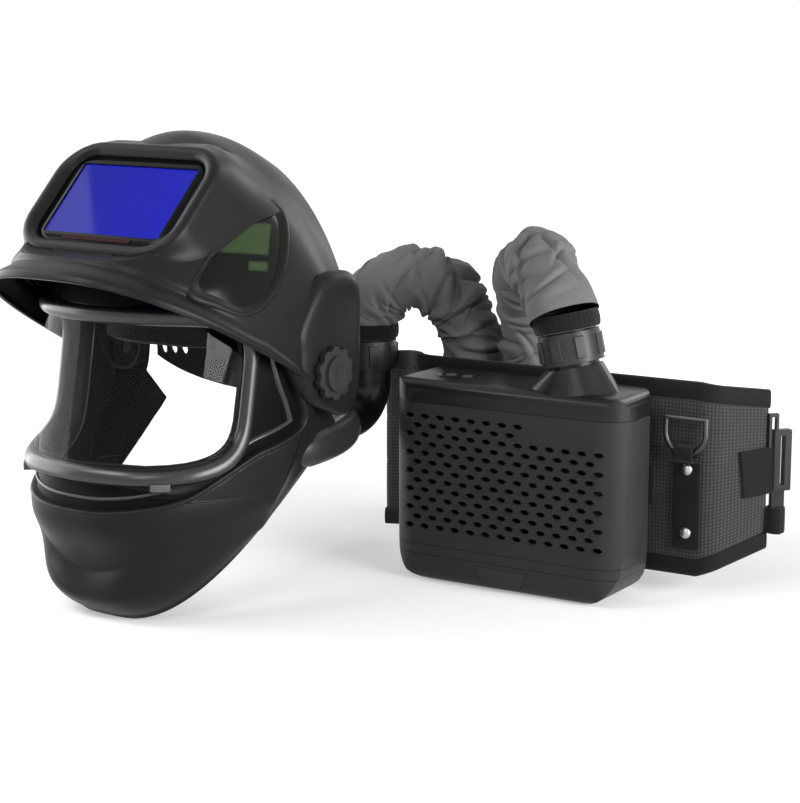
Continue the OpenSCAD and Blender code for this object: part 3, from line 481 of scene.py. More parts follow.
def make_stage():
    """Camera, lamps, world and floor."""
    scene = bpy.context.scene
    scene.view_settings.view_transform = "Standard"
    camera = bpy.data.cameras.new("camera")
    camera.sensor_width = SENSOR
    camera.lens = FOCAL / PICTURE_H * SENSOR
    scene.camera = add_aimed("camera", camera, CAMERA_AT, CAMERA_AIM)
    for name, (place, aim, size, watts) in LAMPS.items():
        lamp = bpy.data.lights.new(name, "AREA")
        lamp.shape = "RECTANGLE"
        lamp.size, lamp.size_y = size
        lamp.energy = watts
        add_aimed(name, lamp, place, aim)
    make_world(scene)
    make_floor(scene)


def white_to_camera(tree, dim):
    """1 for rays that show the background, dim for rays that light the object."""
    path = tree.nodes.new("ShaderNodeLightPath").outputs
    shown = path["Is Camera Ray"]
    for kind in ("Is Glossy Ray", "Is Transmission Ray"):
        shown = calculate(tree, "MAXIMUM", shown, path[kind])
    return spread(tree, shown, dim, 1.0)


def make_world(scene):
    world = bpy.data.worlds.new("studio")
    world.use_nodes = True
    tree = world.node_tree
    values = {"Color": (1, 1, 1, 1), "Strength": white_to_camera(tree, 0.08)}
    set_inputs(tree, tree.nodes["Background"], values)
    scene.world = world


def make_floor(scene):
    """Pale floor that keeps the shadow and turns white with distance."""
    mesh = bpy.data.meshes.new("floor")
    corners = [(-1, -1), (1, -1), (1, 1), (-1, 1)]
    mesh.from_pydata([(x * FLOOR_REACH, y * FLOOR_REACH, FLOOR_Z) for x, y in corners], [], [(0, 1, 2, 3)])
    made, tree, shader = new_material("floor_pale")
    away = add_node(tree, "ShaderNodeVectorMath", {0: place_on(tree, "Object")}, operation="LENGTH")
    values = {"Value": away.outputs["Value"], "From Min": 0.3, "From Max": 1.6, "To Min": 0.3, "To Max": 1.0}
    rise = add_node(tree, "ShaderNodeMapRange", values, interpolation_type="SMOOTHSTEP")
    set_inputs(tree, shader, {
        "Base Color": colours(tree, noise(tree, 3.0, 3.0), *shades(1.0, 0.82, 0.86)),
        "Roughness": 0.9,
        "Emission Color": (1, 1, 1, 1),
        "Emission Strength": calculate(tree, "MULTIPLY", rise.outputs["Result"], white_to_camera(tree, 0.0)),
    })
    mesh.materials.append(made)
    floor = bpy.data.objects.new("floor", mesh)
    scene.collection.objects.link(floor)


# Helmet surfaces, in the helmet's own frame

FACE_FORM = soft_table([(-56, 1.46), (-51, 1.485), (-47, 1.478), (-42.5, 1.41), (-38.5, 1.352), (-35, 1.318),
                        (-31, 1.272), (-27, 1.22), (-20, 1.1), (-10, 1.02), (0, 0.99), (10, 0.98),
                        (20, 1), (110, 1)], 1.2)
FACE_WIDTH = soft_table([(-56, 0.84), (-44, 0.9), (-30, 1), (110, 1)])
FACE_SQUARE = soft_table([(-45, 2.9), (-20, 2.6), (0, 2.3), (40, 2)])
SHIELD_FORM = soft_table([(-24, 1.404), (-20, 1.35), (-15, 1.29), (-8, 1.24), (2, 1.205), (14, 1.205),
                          (24, 1.23), (33, 1.235), (45, 1.18), (58, 1.1)], 2.0)
SHIELD_SQUARE = soft_table([(-24, 2.8), (-5, 2.6), (15, 2.3), (40, 1.85)])
# Shield: radius at its brim and its back edge, slopes of both, drop of the brim, radius round the ears
BRIM_R, SHIELD_BACK_R = 1.404 * CROWN, 1.1 * CROWN
BRIM_SLOPE, BACK_SLOPE, BRIM_DROP, EAR_R = 17.4, 133, 0.095 * CROWN, 44.0
# Ledge under the visor, brow and nape: drop, radius and rise from the hinge, as shares of the crown
LEDGE_DROP, LEDGE_R, BROW_RISE, NAPE = 0.53, 1.17, 0.37, 0.23
# Rows of the face from the jaw to the ledge, to the brow and to the back, and the width of the ledge in rows
CHIN_ROWS, FACE_ROWS, CROWN_ROWS, LEDGE = 8.0, 5.0, 8.0, 0.7


def arc_sine(v, most=1.0):
    """Angle in degrees, for values held at a highest one."""
    return np.degrees(np.arcsin(np.minimum(v, most)))


def section_r(t, n):
    """Share of the radius at an angle from the middle, for a section of squareness n."""
    return np.cos(np.radians(t)) ** (2 / n)


def section_w(t, n):
    """Share of the half width there."""
    return signed_power(np.sin(np.radians(t)), 2 / n)


def ear_t(radius, n):
    """Angle at which a section reaches the round hole at the ear."""
    return np.degrees(np.arccos((EAR_HOLE / radius) ** (n / 2)))


def dome(radius, half_w, n, a, t):
    """Points at an angle a round the hinge line and t from the middle."""
    r = radius * section_r(t, n)
    a = np.radians(a)
    return stacked(half_w * section_w(t, n), -r * np.cos(a), r * np.sin(a))


def jaw_angle(t):
    """Angle of the jaw's edge round the hinge line."""
    return -JAW_SLOPE - arc_sine(JAW_R / (CHIN_R * section_r(t, JAW_SQUARE)))


def face_angle(v, t):
    """Angle round the hinge line: v climbs from the jaw to the ledge, the brow and the back."""
    jaw = jaw_angle(t)
    ledge = -arc_sine(LEDGE_DROP / (LEDGE_R * section_r(t, 2.4)), 0.9)
    brow = arc_sine(BROW_RISE / section_r(t, 2.2), 0.9)
    back = 90 + arc_sine(NAPE / section_r(t, 2.0))
    chin = jaw + (ledge - jaw) * v / CHIN_ROWS
    face = ledge + (brow - ledge) * np.clip((v - CHIN_ROWS - LEDGE) / (FACE_ROWS - LEDGE), 0, 1)
    crown = brow + (back - brow) * (v - CHIN_ROWS - FACE_ROWS) / CROWN_ROWS
    return np.where(v <= CHIN_ROWS, chin, np.where(v <= CHIN_ROWS + FACE_ROWS, face, crown))


# Sunk front of the chin: its top, half width, height and depth
HOLLOW_TOP, HOLLOW_HALF_W, HOLLOW_H, HOLLOW_DEPTH = -98.0, 66.0, 58.0, 12.0


def chin_hollow(points):
    """Depth of the sunk front of the chin, which deepens downwards to a crease above a rounded lip."""
    x, y, u = np.moveaxis(points, -1, 0)
    drop = np.maximum(0, HOLLOW_TOP - u)
    edge = np.hypot(x / HOLLOW_HALF_W, drop / HOLLOW_H)
    past_crease = np.clip((edge - 0.95) / 0.45, 0, 1)
    return HOLLOW_DEPTH * smoothstep(8, 55, drop) * (1 - past_crease) ** 1.5 * (y < 0)


def face_surface(v, s, sunk=0.0):
    """Face and crown skin: v climbs from the jaw, s runs from ear to ear."""
    mid = face_angle(v, 0.0)
    n = FACE_SQUARE(mid)
    lip = 1.6 * (1 - smoothstep(0.0, 0.5, v))
    radius = CROWN * FACE_FORM(mid)
    t = s * ear_t(radius, n)
    points = dome(radius + lip - sunk, SHELL_HALF_W * FACE_WIDTH(mid) - sunk, n, face_angle(v, t), t)
    points[..., 1] += chin_hollow(points)
    return points


# Edge of the sunk field round the visor, as arc length and height on the visor's surface
EDGE_SIDE = np.array([(178, 60), (188, 20), (195, 2), (204, -14), (212, -31), (213, -40)])
EDGE_LOW = np.array([(213, -40), (207, -47), (193, -53), (169, -60), (135, -75), (102, -88), (44, -97),
                     (0, -99)])


def inside_field(points):
    """Distance inside the sunk field round the visor, below zero outside it."""
    arc, u = visor_place(points)
    low = u - np.interp(np.abs(arc), *EDGE_LOW[::-1].T)
    side = np.interp(u, EDGE_SIDE[::-1, 1], EDGE_SIDE[::-1, 0]) - np.abs(arc)
    return np.where(u > 30, -9.0, np.minimum(low, side))


def visor_place(points):
    """Arc length and height of helmet points, seen on the visor's surface."""
    x, y, u = np.moveaxis(points, -1, 0)
    bend = np.arctan2(x / VISOR_HALF_W, (-y - VISOR_CENTRE + u * math.tan(VISOR_LEAN)) / VISOR_DEPTH)
    return bend * VISOR_HALF_W, u


def visor_share(points, inset):
    """Below 1 inside the visor's outline."""
    arc, u = visor_place(points)
    across, up = arc / (VISOR_ARC - inset), (u - VISOR_MID) / (VISOR_H / 2 - inset)
    return np.abs(across) ** VISOR_SQUARE + np.abs(up) ** VISOR_SQUARE


def centres(points):
    """Middles of a grid's cells."""
    return (points[:-1, :-1] + points[1:, :-1] + points[:-1, 1:] + points[1:, 1:]) / 4


def make_face_shell():
    """Shell round the visor's opening, and the sunk field between them."""
    brow = CHIN_ROWS + FACE_ROWS
    spans = [np.linspace(0, CHIN_ROWS, 110), np.linspace(CHIN_ROWS, brow, 90)[1:],
             np.linspace(brow, brow + CROWN_ROWS, 56)[1:]]
    v = np.concatenate(spans)[:, None]
    s = np.linspace(-1, 1, 261)[None, :]
    points = face_surface(v, s)
    mid = centres(points)
    solid = (visor_share(mid, 3.0) > 1) | (mid[..., 1] > -60)
    inside = inside_field(mid)
    field = face_surface(v, s, 5.0)
    # The sunk field takes the plastic that is darkened as painted shade
    for name, skin, keep, look, replaced in (
            ("face_shell_skin", points, inside < -2.2, SHELL, ["face_shell"]),
            ("face_field_skin", field, inside > -6, FIELD_PAINTED_SHADE, [])):
        faces = grid_faces(skin, keep=solid & keep)
        made = piece(name, on_helmet(skin), faces, "base", look, replaced)
        add_wall(made, SHELL_WALL, INNER)
    make_field_edges(surface_tree(points))


def make_field_edges(face_tree):
    """The rolled edge of the shell round the sunk field, and a ridge that follows it inside the field."""
    half = np.concatenate([EDGE_SIDE, EDGE_LOW[1:]])
    edge = smooth_path(np.concatenate([half, half[-2::-1] * [-1, 1]]), 2.0)[0]
    inward = headings(edge)[:, ::-1] * [1, -1]
    profiles = {
        "face_field_edge": (SHELL, [(-4.5, -0.5), (-3, 0.4), (-1.2, 0.8), (0.2, 0.5), (1.0, -0.8),
                                    (1.6, -3.5), (2.4, -7)]),
        "face_field_ridge": (FRAME, [(8.5, -6), (9.6, -3.6), (11, -2.8), (12.4, -3.4), (14, -6)]),
    }
    for name, (look, profile) in profiles.items():
        rows = [[face_at(face_tree, *at, lift) for at in edge + inward * offset] for offset, lift in profile]
        rows = np.array(rows)
        piece(name, on_helmet(rows), turned_over(grid_faces(rows)), "base", look)


def face_at(face_tree, arc, u, lift):
    """Point of the face at a place on the visor's surface, carried out to the shell and lifted off it."""
    bend = arc / VISOR_HALF_W
    start = Vector((0, u * math.tan(VISOR_LEAN) - VISOR_CENTRE, u))
    ray = Vector((VISOR_HALF_W * math.sin(bend), -VISOR_DEPTH * math.cos(bend), 0)).normalized()
    hit, normal, _, _ = face_tree.ray_cast(start, ray)
    return hit + normal * math.copysign(lift, lift * normal.dot(ray))


def visor_point(arc, u, lift):
    """Point at an arc length and a height on the visor, lifted off it."""
    bend = arc / VISOR_HALF_W
    over = np.maximum(0, np.abs(bend) - math.pi / 2) * VISOR_HALF_W
    bend = np.clip(bend, -math.pi / 2, math.pi / 2)
    y = VISOR_CENTRE + (VISOR_DEPTH + lift) * np.cos(bend) - over - u * math.tan(VISOR_LEAN)
    return stacked((VISOR_HALF_W + lift) * np.sin(bend), -y, u)


def visor_loop(inset, lift):
    """Loop inside the visor's outline."""
    w = full_turn(144)
    across, up = (signed_power(share, 2 / VISOR_SQUARE) for share in (np.cos(w), np.sin(w)))
    return visor_point((VISOR_ARC - inset) * across, VISOR_MID + (VISOR_H / 2 - inset) * up, lift)


def make_visor():
    """Rounded frame and clear pane of the visor."""
    profile = [(-15, -13), (-15, -9), (-1, -5), (-0.5, 2), (0.5, 4.6), (3, 5.6), (VISOR_RIM - 5, 5.2),
               (VISOR_RIM - 2, 2.8), (VISOR_RIM, 0), (VISOR_RIM, -4), (2, -6)]
    loops = np.array([visor_loop(inset, lift) for inset, lift in profile])
    made = piece("visor_frame_skin", on_helmet(loops), grid_faces(loops, wrap=True, close=True),
                 "base", FRAME, ["visor_frame"])
    made.modifiers.new("smooth", "SUBSURF").render_levels = 1
    arc = np.linspace(-1, 1, 121)[None, :] * (VISOR_ARC - VISOR_RIM + 2)
    u = VISOR_MID + np.linspace(-1, 1, 31)[:, None] * (VISOR_H / 2 - VISOR_RIM + 2)
    pane = visor_point(arc, u, -1.5)
    piece("clear_visor_pane", on_helmet(pane), grid_faces(pane), "base", CLEAR,
          ["clear_visor"])


def shield_ends(t):
    """Angles of the brim and of the back edge round the hinge line."""
    brim = -BRIM_SLOPE - arc_sine(BRIM_DROP / (BRIM_R * section_r(t, 2.8)))
    back = BACK_SLOPE - np.degrees(np.arccos(np.minimum(1, EAR_R / (SHIELD_BACK_R * section_r(t, 1.85)))))
    return brim, back


def shield_rows(f):
    """Radius and squareness of the shield at shares of the way from its brim to its back edge."""
    low, high = shield_ends(0.0)
    mid = low + (high - low) * f
    return CROWN * SHIELD_FORM(mid), SHIELD_SQUARE(mid)


def shield_at(f, t, lift=0.0):
    """Point of the closed shield: f runs from the brim to the back edge, t from side to side."""
    radius, n = shield_rows(f)
    brim, back = shield_ends(t)
    return dome(radius + lift, SHIELD_HALF_W + lift, n, brim + (back - brim) * f, t)


# Round-cornered outline in which the shield is cut away for the lens: width, height and corner radius
LENS_BOX = (VIEW_W + 38, VIEW_H + 44, 32.0)


def lens_distance(points):
    """Distance of points outside the outline that is cut away for the lens."""
    wide, tall, corner = LENS_BOX
    qx = np.abs(points[..., 0]) - wide / 2 + corner
    qz = np.abs(points[..., 2] - LENS_U) - tall / 2 + corner
    return np.hypot(np.maximum(qx, 0), np.maximum(qz, 0)) + np.minimum(np.maximum(qx, qz), 0) - corner


def lens_loop(box, grow, y, count=40, lengthen=0.0):
    """Loop round a round-cornered box before the lens, grown outwards, and more so above if lengthened."""
    wide, tall, corner = box
    w, h = wide / 2 - corner, tall / 2 - corner
    points = []
    for k, (sx, sz) in enumerate([(1, 1), (-1, 1), (-1, -1), (1, -1)]):
        turn = np.radians(90 * k + np.linspace(0, 90, count))
        r = corner + grow * (1 + lengthen * np.clip(np.sin(turn), 0, 1) ** 2)
        points.append(stacked(sx * w + r * np.cos(turn), y, sz * h + r * np.sin(turn) + LENS_U))
    return np.concatenate(points)


def shield_surface(f, s):
    """Shield skin with a rolled brim, cut back round the lens so that the frame stands clear."""
    front = 1 - smoothstep(0.5, 0.8, np.abs(s))
    roll = 2.8 * np.exp(-((f - 0.02) / 0.02) ** 2) - 2.6 * np.exp(-((f - 0.066) / 0.016) ** 2) * front
    points = shield_at(f, s * ear_t(*shield_rows(f)), roll)
    beyond = np.maximum(lens_distance(points), 0)
    over = np.maximum(-points[..., 1] - LENS_Y - 5 - 0.9 * beyond, 0)
    points[..., 1] += over * (points[..., 1] < 0)
    return points


# Outline of the side window, as angles round the hinge line and from the middle
WINDOW = smooth_curve([(29, 42.5), (36.5, 48), (29, 57.5), (15, 64.5), (-2, 67), (-12, 64),
                       (-14, 56), (-13.5, 46.5), (-2.5, 44.5), (14, 43)], 12)
WINDOW_MID = WINDOW.mean(0)


def window_loop(share, lift):
    """Loop at a share of the left window's outline, on the surface of the raised shield."""
    at = WINDOW_MID + (WINDOW - WINDOW_MID) * share
    brim, back = shield_ends(at[:, 1])
    return rotate_x(shield_at((at[:, 0] - brim) / (back - brim), at[:, 1], lift), -RAISE)


def window_share(angle, t):
    """Below 1 inside the window's outline."""
    rel = WINDOW - WINDOW_MID
    turn = np.arctan2(rel[:, 1], rel[:, 0])
    order = np.argsort(turn)
    da, dt = angle - WINDOW_MID[0], np.abs(t) - WINDOW_MID[1]
    reach = np.interp(np.arctan2(dt, da), turn[order], np.hypot(*rel.T)[order], period=2 * math.pi)
    return np.hypot(da, dt) / reach


def make_shield():
    """Shield with openings for the lens and the windows, and what is set in them."""
    f = np.concatenate([np.linspace(0, 0.09, 28), np.linspace(0.09, 1, 160)[1:]])[:, None]
    s = np.linspace(-1, 1, 201)[None, :]
    points = shield_surface(f, s)
    mid = centres(points)
    lens = (lens_distance(mid) < -1) & (mid[..., 1] < -90)
    t = s * ear_t(*shield_rows(f))
    brim, back = shield_ends(t)
    angle = brim + (back - brim) * f
    panes = window_share(angle[:-1, :-1], t[:-1, :-1]) < 1.03
    faces = grid_faces(points, keep=~(lens | panes))
    made = piece("shield_skin", on_shield(points), faces, "flip_shield", SHELL,
                 ["shield_shell"])
    add_wall(made, SHELL_WALL, INNER)
    make_bezel(surface_tree(points))
    make_windows()


def make_bezel(dome_tree):
    """Dished frame round the filter: a rounded ridge and a skirt to the dome, longest above."""
    opening, ridge = (VIEW_W + 18, VIEW_H + 17, 20.0), (VIEW_W + 42, VIEW_H + 37, 34.0)
    profile = [(opening, 0, -1.0), (opening, 0.3, 1.0), (opening, 1.0, 2.2), (ridge, -7.5, 4.6),
               (ridge, -5, 5.8), (ridge, -2.5, 6.3), (ridge, 0, 6.0), (ridge, 2.2, 4.6), (ridge, 3.4, 2.4)]
    skirt = [(4.4, 0.3, 0.0), (5.6, 0.65, 0.0), (7.2, 0.9, -0.2), (9.2, 1.0, -0.3), (11.0, 1.0, 0.8)]
    loops = [lens_loop(box, grow, -(LENS_Y + lift)) for box, grow, lift in profile]
    rim = loops[-1][:, 1]
    far_ahead, deepest = -400, 40
    for grow, share, sink in skirt:
        loop = lens_loop(ridge, grow, 0.0, lengthen=2.2)
        for k, (x, _, z) in enumerate(loop):
            hit = dome_tree.ray_cast(Vector((x, far_ahead, z)), Vector((0, 1, 0)))[0]
            surface = hit.y + sink if hit else rim[k] + deepest
            loop[k, 1] = rim[k] + (surface - rim[k]) * share
        loops.append(loop)
    loops = np.array(loops)
    made = piece("lens_bezel", on_shield(loops), turned_over(grid_faces(loops, wrap=True)), "flip_shield",
                 SHELL, ["lens_housing"])
    made.modifiers.new("smooth", "SUBSURF").render_levels = 1


def make_windows():
    """Sunk panes in a bevelled edge."""
    rings = [(0.001, -2.2), (0.2, -2.2), (0.4, -2.3), (0.6, -2.5), (0.75, -2.7), (0.92, -3.2), (0.97, -3.6)]
    rim = [(0.9, -3.4), (0.93, -2.6), (0.99, -0.3), (1.02, 0.4), (1.06, 0.5), (1.1, 0.05), (1.12, -1.5)]
    # Directions along and up the pane, for the UV on which the window's painted light bands lie
    along, up = np.array([0.85, 0.53, 0.0]), np.array([-0.1, 0.15, 0.98])
    pane = np.array([window_loop(share, lift) for share, lift in rings])
    uv = stacked(pane @ along, pane @ up)
    uv = (uv - uv.min((0, 1))) / np.ptp(uv, (0, 1))
    shield_pair("side_window", pane, GREEN_PAINTED_LIGHT, ["side_windows"], uv)
    edge = np.array([window_loop(share, lift) for share, lift in rim])
    shield_pair("window_edge", edge, SHELL)


# Outline of the pad over an ear: back and up from the hinge
PAD_EDGE = smooth_curve([(44, 70), (46, 24), (45, -8), (40, -27), (28, -39), (6, -33), (-18, -22), (-34, -4),
                         (-36, 20), (-34, 40), (-8, 74), (18, 80)], 8)


def make_ear_pads():
    """Cushion-shaped pads over the ears, drawn as they stand with the shield raised."""
    rings = [(0.001, 3.0), (0.35, 2.9), (0.65, 2.4), (0.82, 1.6), (0.91, 0.6), (0.97, -1.2), (1.01, -3.8),
             (1.03, -7.0)]
    middle = PAD_EDGE.mean(0)
    loops = [np.insert(middle + (PAD_EDGE - middle) * share, 0, SHIELD_HALF_W + lift, axis=1)
             for share, lift in rings]
    shield_pair("ear_pad", np.array(loops), SHELL, ["ear_pads"])


def make_cover_lens():
    """Cover lens: a black border round a clear view area."""
    edge, inner = (VIEW_W + 18, VIEW_H + 24, 26.0), (VIEW_W, VIEW_H, 2.0)
    front = -(LENS_Y + 1.2)
    rows = ((edge, front + 1), (edge, front), (inner, front))
    border = np.array([lens_loop(box, 0.0, y, 12) for box, y in rows])
    piece("cover_lens_border", on_shield(border), grid_faces(border, wrap=True), "flip_shield", BLACK_GLASS,
          ["cover_lens"])
    x = np.linspace(-VIEW_W / 2, VIEW_W / 2, 13)[None, :]
    z = np.linspace(-VIEW_H / 2, VIEW_H / 2, 9)[:, None]
    pane = stacked(x, front, z + LENS_U)
    piece("cover_lens_pane", on_shield(pane), grid_faces(pane), "flip_shield", COVER)


# Soft pieces of the helmet

# Degrees that the face seal reaches to either side of the chin
SEAL_SPAN = 70


def make_face_seal():
    """Gathered cloth inside the jaw."""
    row = np.linspace(0, 1, 14)[:, None]
    t = np.linspace(-SEAL_SPAN, SEAL_SPAN, 161)[None, :]
    gather = 1.6 * np.sin(np.radians(t * 14)) * np.sin(math.pi * row)
    inset = SHELL_WALL + 1.5 + gather
    points = dome(CHIN_R * (0.99 - 0.06 * row) - inset, SHELL_HALF_W - 4 - 12 * row - inset, JAW_SQUARE,
                  jaw_angle(t) + 9 - 10 * row, t)
    made = piece("face_seal_cloth", on_helmet(points), grid_faces(points), "base", SEAL_CLOTH,
                 ["face_seal"], stacked(t / SEAL_SPAN * 0.18, row * 0.04))
    add_wall(made, 1.2)


BAND_HALF_W, BAND_HALF_L = 0.68 * SHELL_HALF_W, 0.6 * CROWN


def band_point(w, u, lift):
    """Point at an angle round the headband and a height on it, lifted off it."""
    return stacked((BAND_HALF_W + lift) * np.cos(w), (BAND_HALF_L + lift) * np.sin(w),
                   0.17 * CROWN - 14 * np.sin(w) + u)


def make_brow_pad():
    """Crowned cushion with sewn channels, inside the front of the band."""
    w = np.radians(np.linspace(-150, -30, 97))[None, :]
    round_w = np.linspace(0, 2 * math.pi, 25)[:, None]
    channel = 0.72 + 0.28 * np.abs(np.sin(w * 10.5)) ** 0.5
    ends = np.sqrt(np.clip(1 - np.abs((np.degrees(w) + 90) / 61) ** 6, 0.02, 1))
    depth = -4.2 + 4.0 * np.cos(round_w) * channel * ends
    points = band_point(w, 16.5 * np.sin(round_w) * ends, depth)
    made = piece("brow_pad_cushion", on_helmet(points), grid_faces(points), "headgear", FOAM,
                 ["brow_pad"], stacked(w * 0.09, round_w * 0.011))


def make_cradle():
    """Rear band, deepest at the nape, with slanted oval slots near each end."""
    spans = [np.linspace(10, 30, 64), np.linspace(30, 150, 61)[1:-1], np.linspace(150, 170, 64)]
    w = np.concatenate(spans)[None, :]
    f = np.linspace(0, 1, 36)[:, None]
    low = -60 + 28 * np.abs((w - 90) / 80) ** 3
    u = -14 + (low + 14) * f
    points = band_point(np.radians(w), u, 1.4)
    slots = np.zeros(points.shape[:2], bool)
    up = u + 24
    for place in (153.2, 159.4, 165.5):
        away = np.abs(w - 90) + 90 - place - 0.12 * up
        slots |= (away / 1.7) ** 2 + (up / 5.5) ** 2 < 1
    made = piece("rear_cradle_band", on_helmet(points), grid_faces(points, keep=~slots), "headgear", INNER,
                 ["rear_cradle"])
    add_wall(made, 2.5)


# Hose: the CAD route, in millimetres

SPOUT_LEAN = math.radians(13)
SPOUT = np.array([0.215 * 2 * HALF_W + 6, 0.0, BLOWER_H - 4])
OUTLET_DIR = np.array([-math.sin(SPOUT_LEAN), 0.0, math.cos(SPOUT_LEAN)])
OUTLET = SPOUT + OUTLET_DIR * 53.2
ROUTE = np.array([
    INLET, INLET + [0, 0, 12], INLET + [3, 0, 26], INLET + [14, 1, 44], INLET + [38, 8, 55], (-120, 70, 240),
    (-104, 84, 208), (-96, 92, 165), (-99, 104, 120), (-100, 124, 75), (-88, 150, 42), (-62, 168, 31),
    (-32, 166, 33), (-14, 146, 50), (-14, 122, 88), (-26, 102, 125), (-35, 92, 165), (-39, 86, 214),
    (-33, 70, 252), (-14, 45, 272), (12, 18, 267), OUTLET + OUTLET_DIR * 14, OUTLET])


def carried_frame(path):
    """Two directions square to the path, carried along it without twist."""
    ahead = headings(path)
    side = np.zeros_like(path)
    first = np.array([1.0, 0.0, 0.0])
    for k, t in enumerate(ahead):
        first = first - t * (first @ t)
        first /= np.linalg.norm(first)
        side[k] = first
    return side, np.cross(ahead, side)


def tube(path, radius, turns):
    """Rings round a path; radius is an array of rings by turns, in millimetres."""
    side, other = carried_frame(path)
    return path[:, None] + radius[..., None] * (side[:, None] * np.cos(turns)[None, :, None]
                                                + other[:, None] * np.sin(turns)[None, :, None])


# The side to which the hem hangs loose at the blower
HEM_FLAP = np.array([-0.23, -0.97, 0.0])
# Crumples in the sleeve and the seed of their places, and how far the sleeve's ends lie inside the route's
CRUMPLES, CRUMPLE_SEED, SLEEVE_INSET = 230, 11, 11
# Length of a cuff, and the rings that it is drawn with
CUFF_L, CUFF_RINGS = 15.0, 16


def bend_side(path, turns):
    """How far each point round the path lies on the inside of a bend, from -1 to 1, times the bend."""
    pull = np.gradient(headings(path), axis=0)
    side, other = carried_frame(path)
    a, b = (pull * side).sum(1), (pull * other).sum(1)
    share = np.hypot(a, b) / np.hypot(a, b).max()
    return share[:, None] * np.cos(turns[None, :] - np.arctan2(b, a)[:, None])


def sleeve_folds(path, run, turns):
    """Loose cloth: folds that fan out from inside the bends, and slanting crumples with a sharp crease."""
    draw = np.random.default_rng(CRUMPLE_SEED)
    inner = bend_side(path, turns)
    height = 2.2 * np.clip(inner, 0, 1) * np.sin(run[:, None] / 2.9 + 1.3 * np.sin(run[:, None] / 23))
    for _ in range(CRUMPLES):
        place, centre = draw.uniform(10, run[-1] - 10), draw.uniform(0, 2 * math.pi)
        slant, half, wide = draw.normal(0, 0.45), draw.uniform(14, 40), draw.uniform(2.8, 6.2)
        tall, curl = draw.uniform(1.6, 4.0), draw.uniform(-0.008, 0.008)
        ahead = run[:, None] - place
        round_it = np.angle(np.exp(1j * (turns - centre)))[None, :] * SLEEVE_D / 2
        along = round_it * math.cos(slant) + ahead * math.sin(slant)
        across = ahead * math.cos(slant) - round_it * math.sin(slant) + curl * along ** 2
        fade = np.exp(-(along / half) ** 4)
        crease = 1.1 * np.exp(-((across - 1.15 * wide) / (0.35 * wide)) ** 2)
        height += tall * fade * (np.exp(-(across / wide) ** 2) - crease)
    return np.clip(height, -5.0, 5.5)


def make_hose():
    """Sleeve over the hose, with its cuffs."""
    path, run = smooth_path(ROUTE, 1.3)
    turns = full_turn(128)
    ends = smoothstep(12, 34, run) * (1 - smoothstep(run[-1] - 34, run[-1] - 14, run))
    hem = smoothstep(run[-1] - 46, run[-1] - 14, run)
    side, other = (way[-1] @ HEM_FLAP for way in carried_frame(path))
    loose = np.clip(side * np.cos(turns) + other * np.sin(turns), 0, 1) ** 3
    radius = SLEEVE_D / 2 - 1.0 + sleeve_folds(path, run, turns) * ends[:, None]
    radius += hem[:, None] * (2.0 + 1.0 * np.sin(3 * turns + 0.7) + 5.0 * loose)[None, :]
    shown = (run > SLEEVE_INSET) & (run < run[-1] - SLEEVE_INSET)
    rings = tube(path, radius, turns)[shown]
    uv = stacked(turns[None, :] * SLEEVE_D / 2 * MM, run[shown, None] * MM)
    sleeve = piece("hose_sleeve_cloth", rings, grid_faces(rings, wrap=True), "base", SLEEVE_CLOTH,
                   ["hose_sleeve", "breathing_hose"], uv)
    cuffs = [make_cuff("cuff_helmet", INLET, np.array([0, 0, 1.0]), ["sleeve_cuffs"]),
             make_cuff("cuff_blower", OUTLET, OUTLET_DIR, [])]


def make_cuff(name, place, along, replaced):
    """Ribbed elastic cuff where the sleeve meets a collar."""
    reach = np.linspace(0, CUFF_L, CUFF_RINGS)[:, None]
    turns = full_turn(120)
    bulge = np.sin(np.linspace(0, math.pi, CUFF_RINGS)) ** 0.4
    radius = SLEEVE_D / 2 - 1.6 + 2.2 * bulge[:, None] + 0.35 * np.cos(40 * turns)[None, :]
    rings = tube(place + reach * along, radius, turns)
    uv = stacked(turns[None, :] * 0.028, reach * MM)
    made = piece(name, rings, grid_faces(rings, wrap=True), "base", WEBBING, replaced, uv)
    add_wall(made, 1.0)
    return made


# Air duct: half width and depth of its route round the nape, its height, and its half sizes
DUCT_HALF_W = 0.87 * SHELL_HALF_W
DUCT_BACK = 0.94 * CROWN
DUCT_HEIGHT = -0.42 * CROWN
DUCT_HALF_SIZES = (11.0, 15.0)
# Degrees from the nape at which the duct is drawn in, the share of its size there, the step of its rings,
# and how far inwards it closes
DUCT_DEGREES, DUCT_SHARES = [12, 21, 84, 114], [0.4, 1, 1, 0.35]
DUCT_STEP, DUCT_CLOSES = 3.0, 22


def make_duct():
    """Air duct from the elbow round to the cheek, drawn in at its far end and inside the shell."""
    angle = np.arange(DUCT_DEGREES[-1], DUCT_DEGREES[0] - 1, -DUCT_STEP)
    size = np.interp(angle, DUCT_DEGREES, DUCT_SHARES)[:, None, None]
    inward = np.interp(angle, DUCT_DEGREES[2:], [0, DUCT_CLOSES])
    around = np.radians(angle)
    route = stacked(DUCT_HALF_W * np.sin(around) - inward, DUCT_BACK * np.cos(around) - 12, DUCT_HEIGHT)
    outward = headings(route)[:, [1, 0, 2]] * [1, -1, 0]
    turns = full_turn(48)[None, :, None]
    wide, tall = DUCT_HALF_SIZES
    rings = route[:, None] + size * (wide * outward[:, None] * np.cos(turns) + [0, 0, tall] * np.sin(turns))
    faces = turned_over(grid_faces(rings, wrap=True) + end_faces(rings))
    piece("air_duct_skin", on_helmet(rings), faces, "base", DUCT, ["air_duct"])


# Belt

BELT_RIGHT, BELT_LEFT, LEFT_SLANT = HALF_W + 30, HALF_W + 3, 30.0
BELT_TURN, BELT_BEND, WING = math.radians(50), 26.0, 41.0
BELT_ARC = BELT_BEND * BELT_TURN
BELT_FRONT = HALF_D + 8
BELT_END = BELT_RIGHT + BELT_ARC + WING


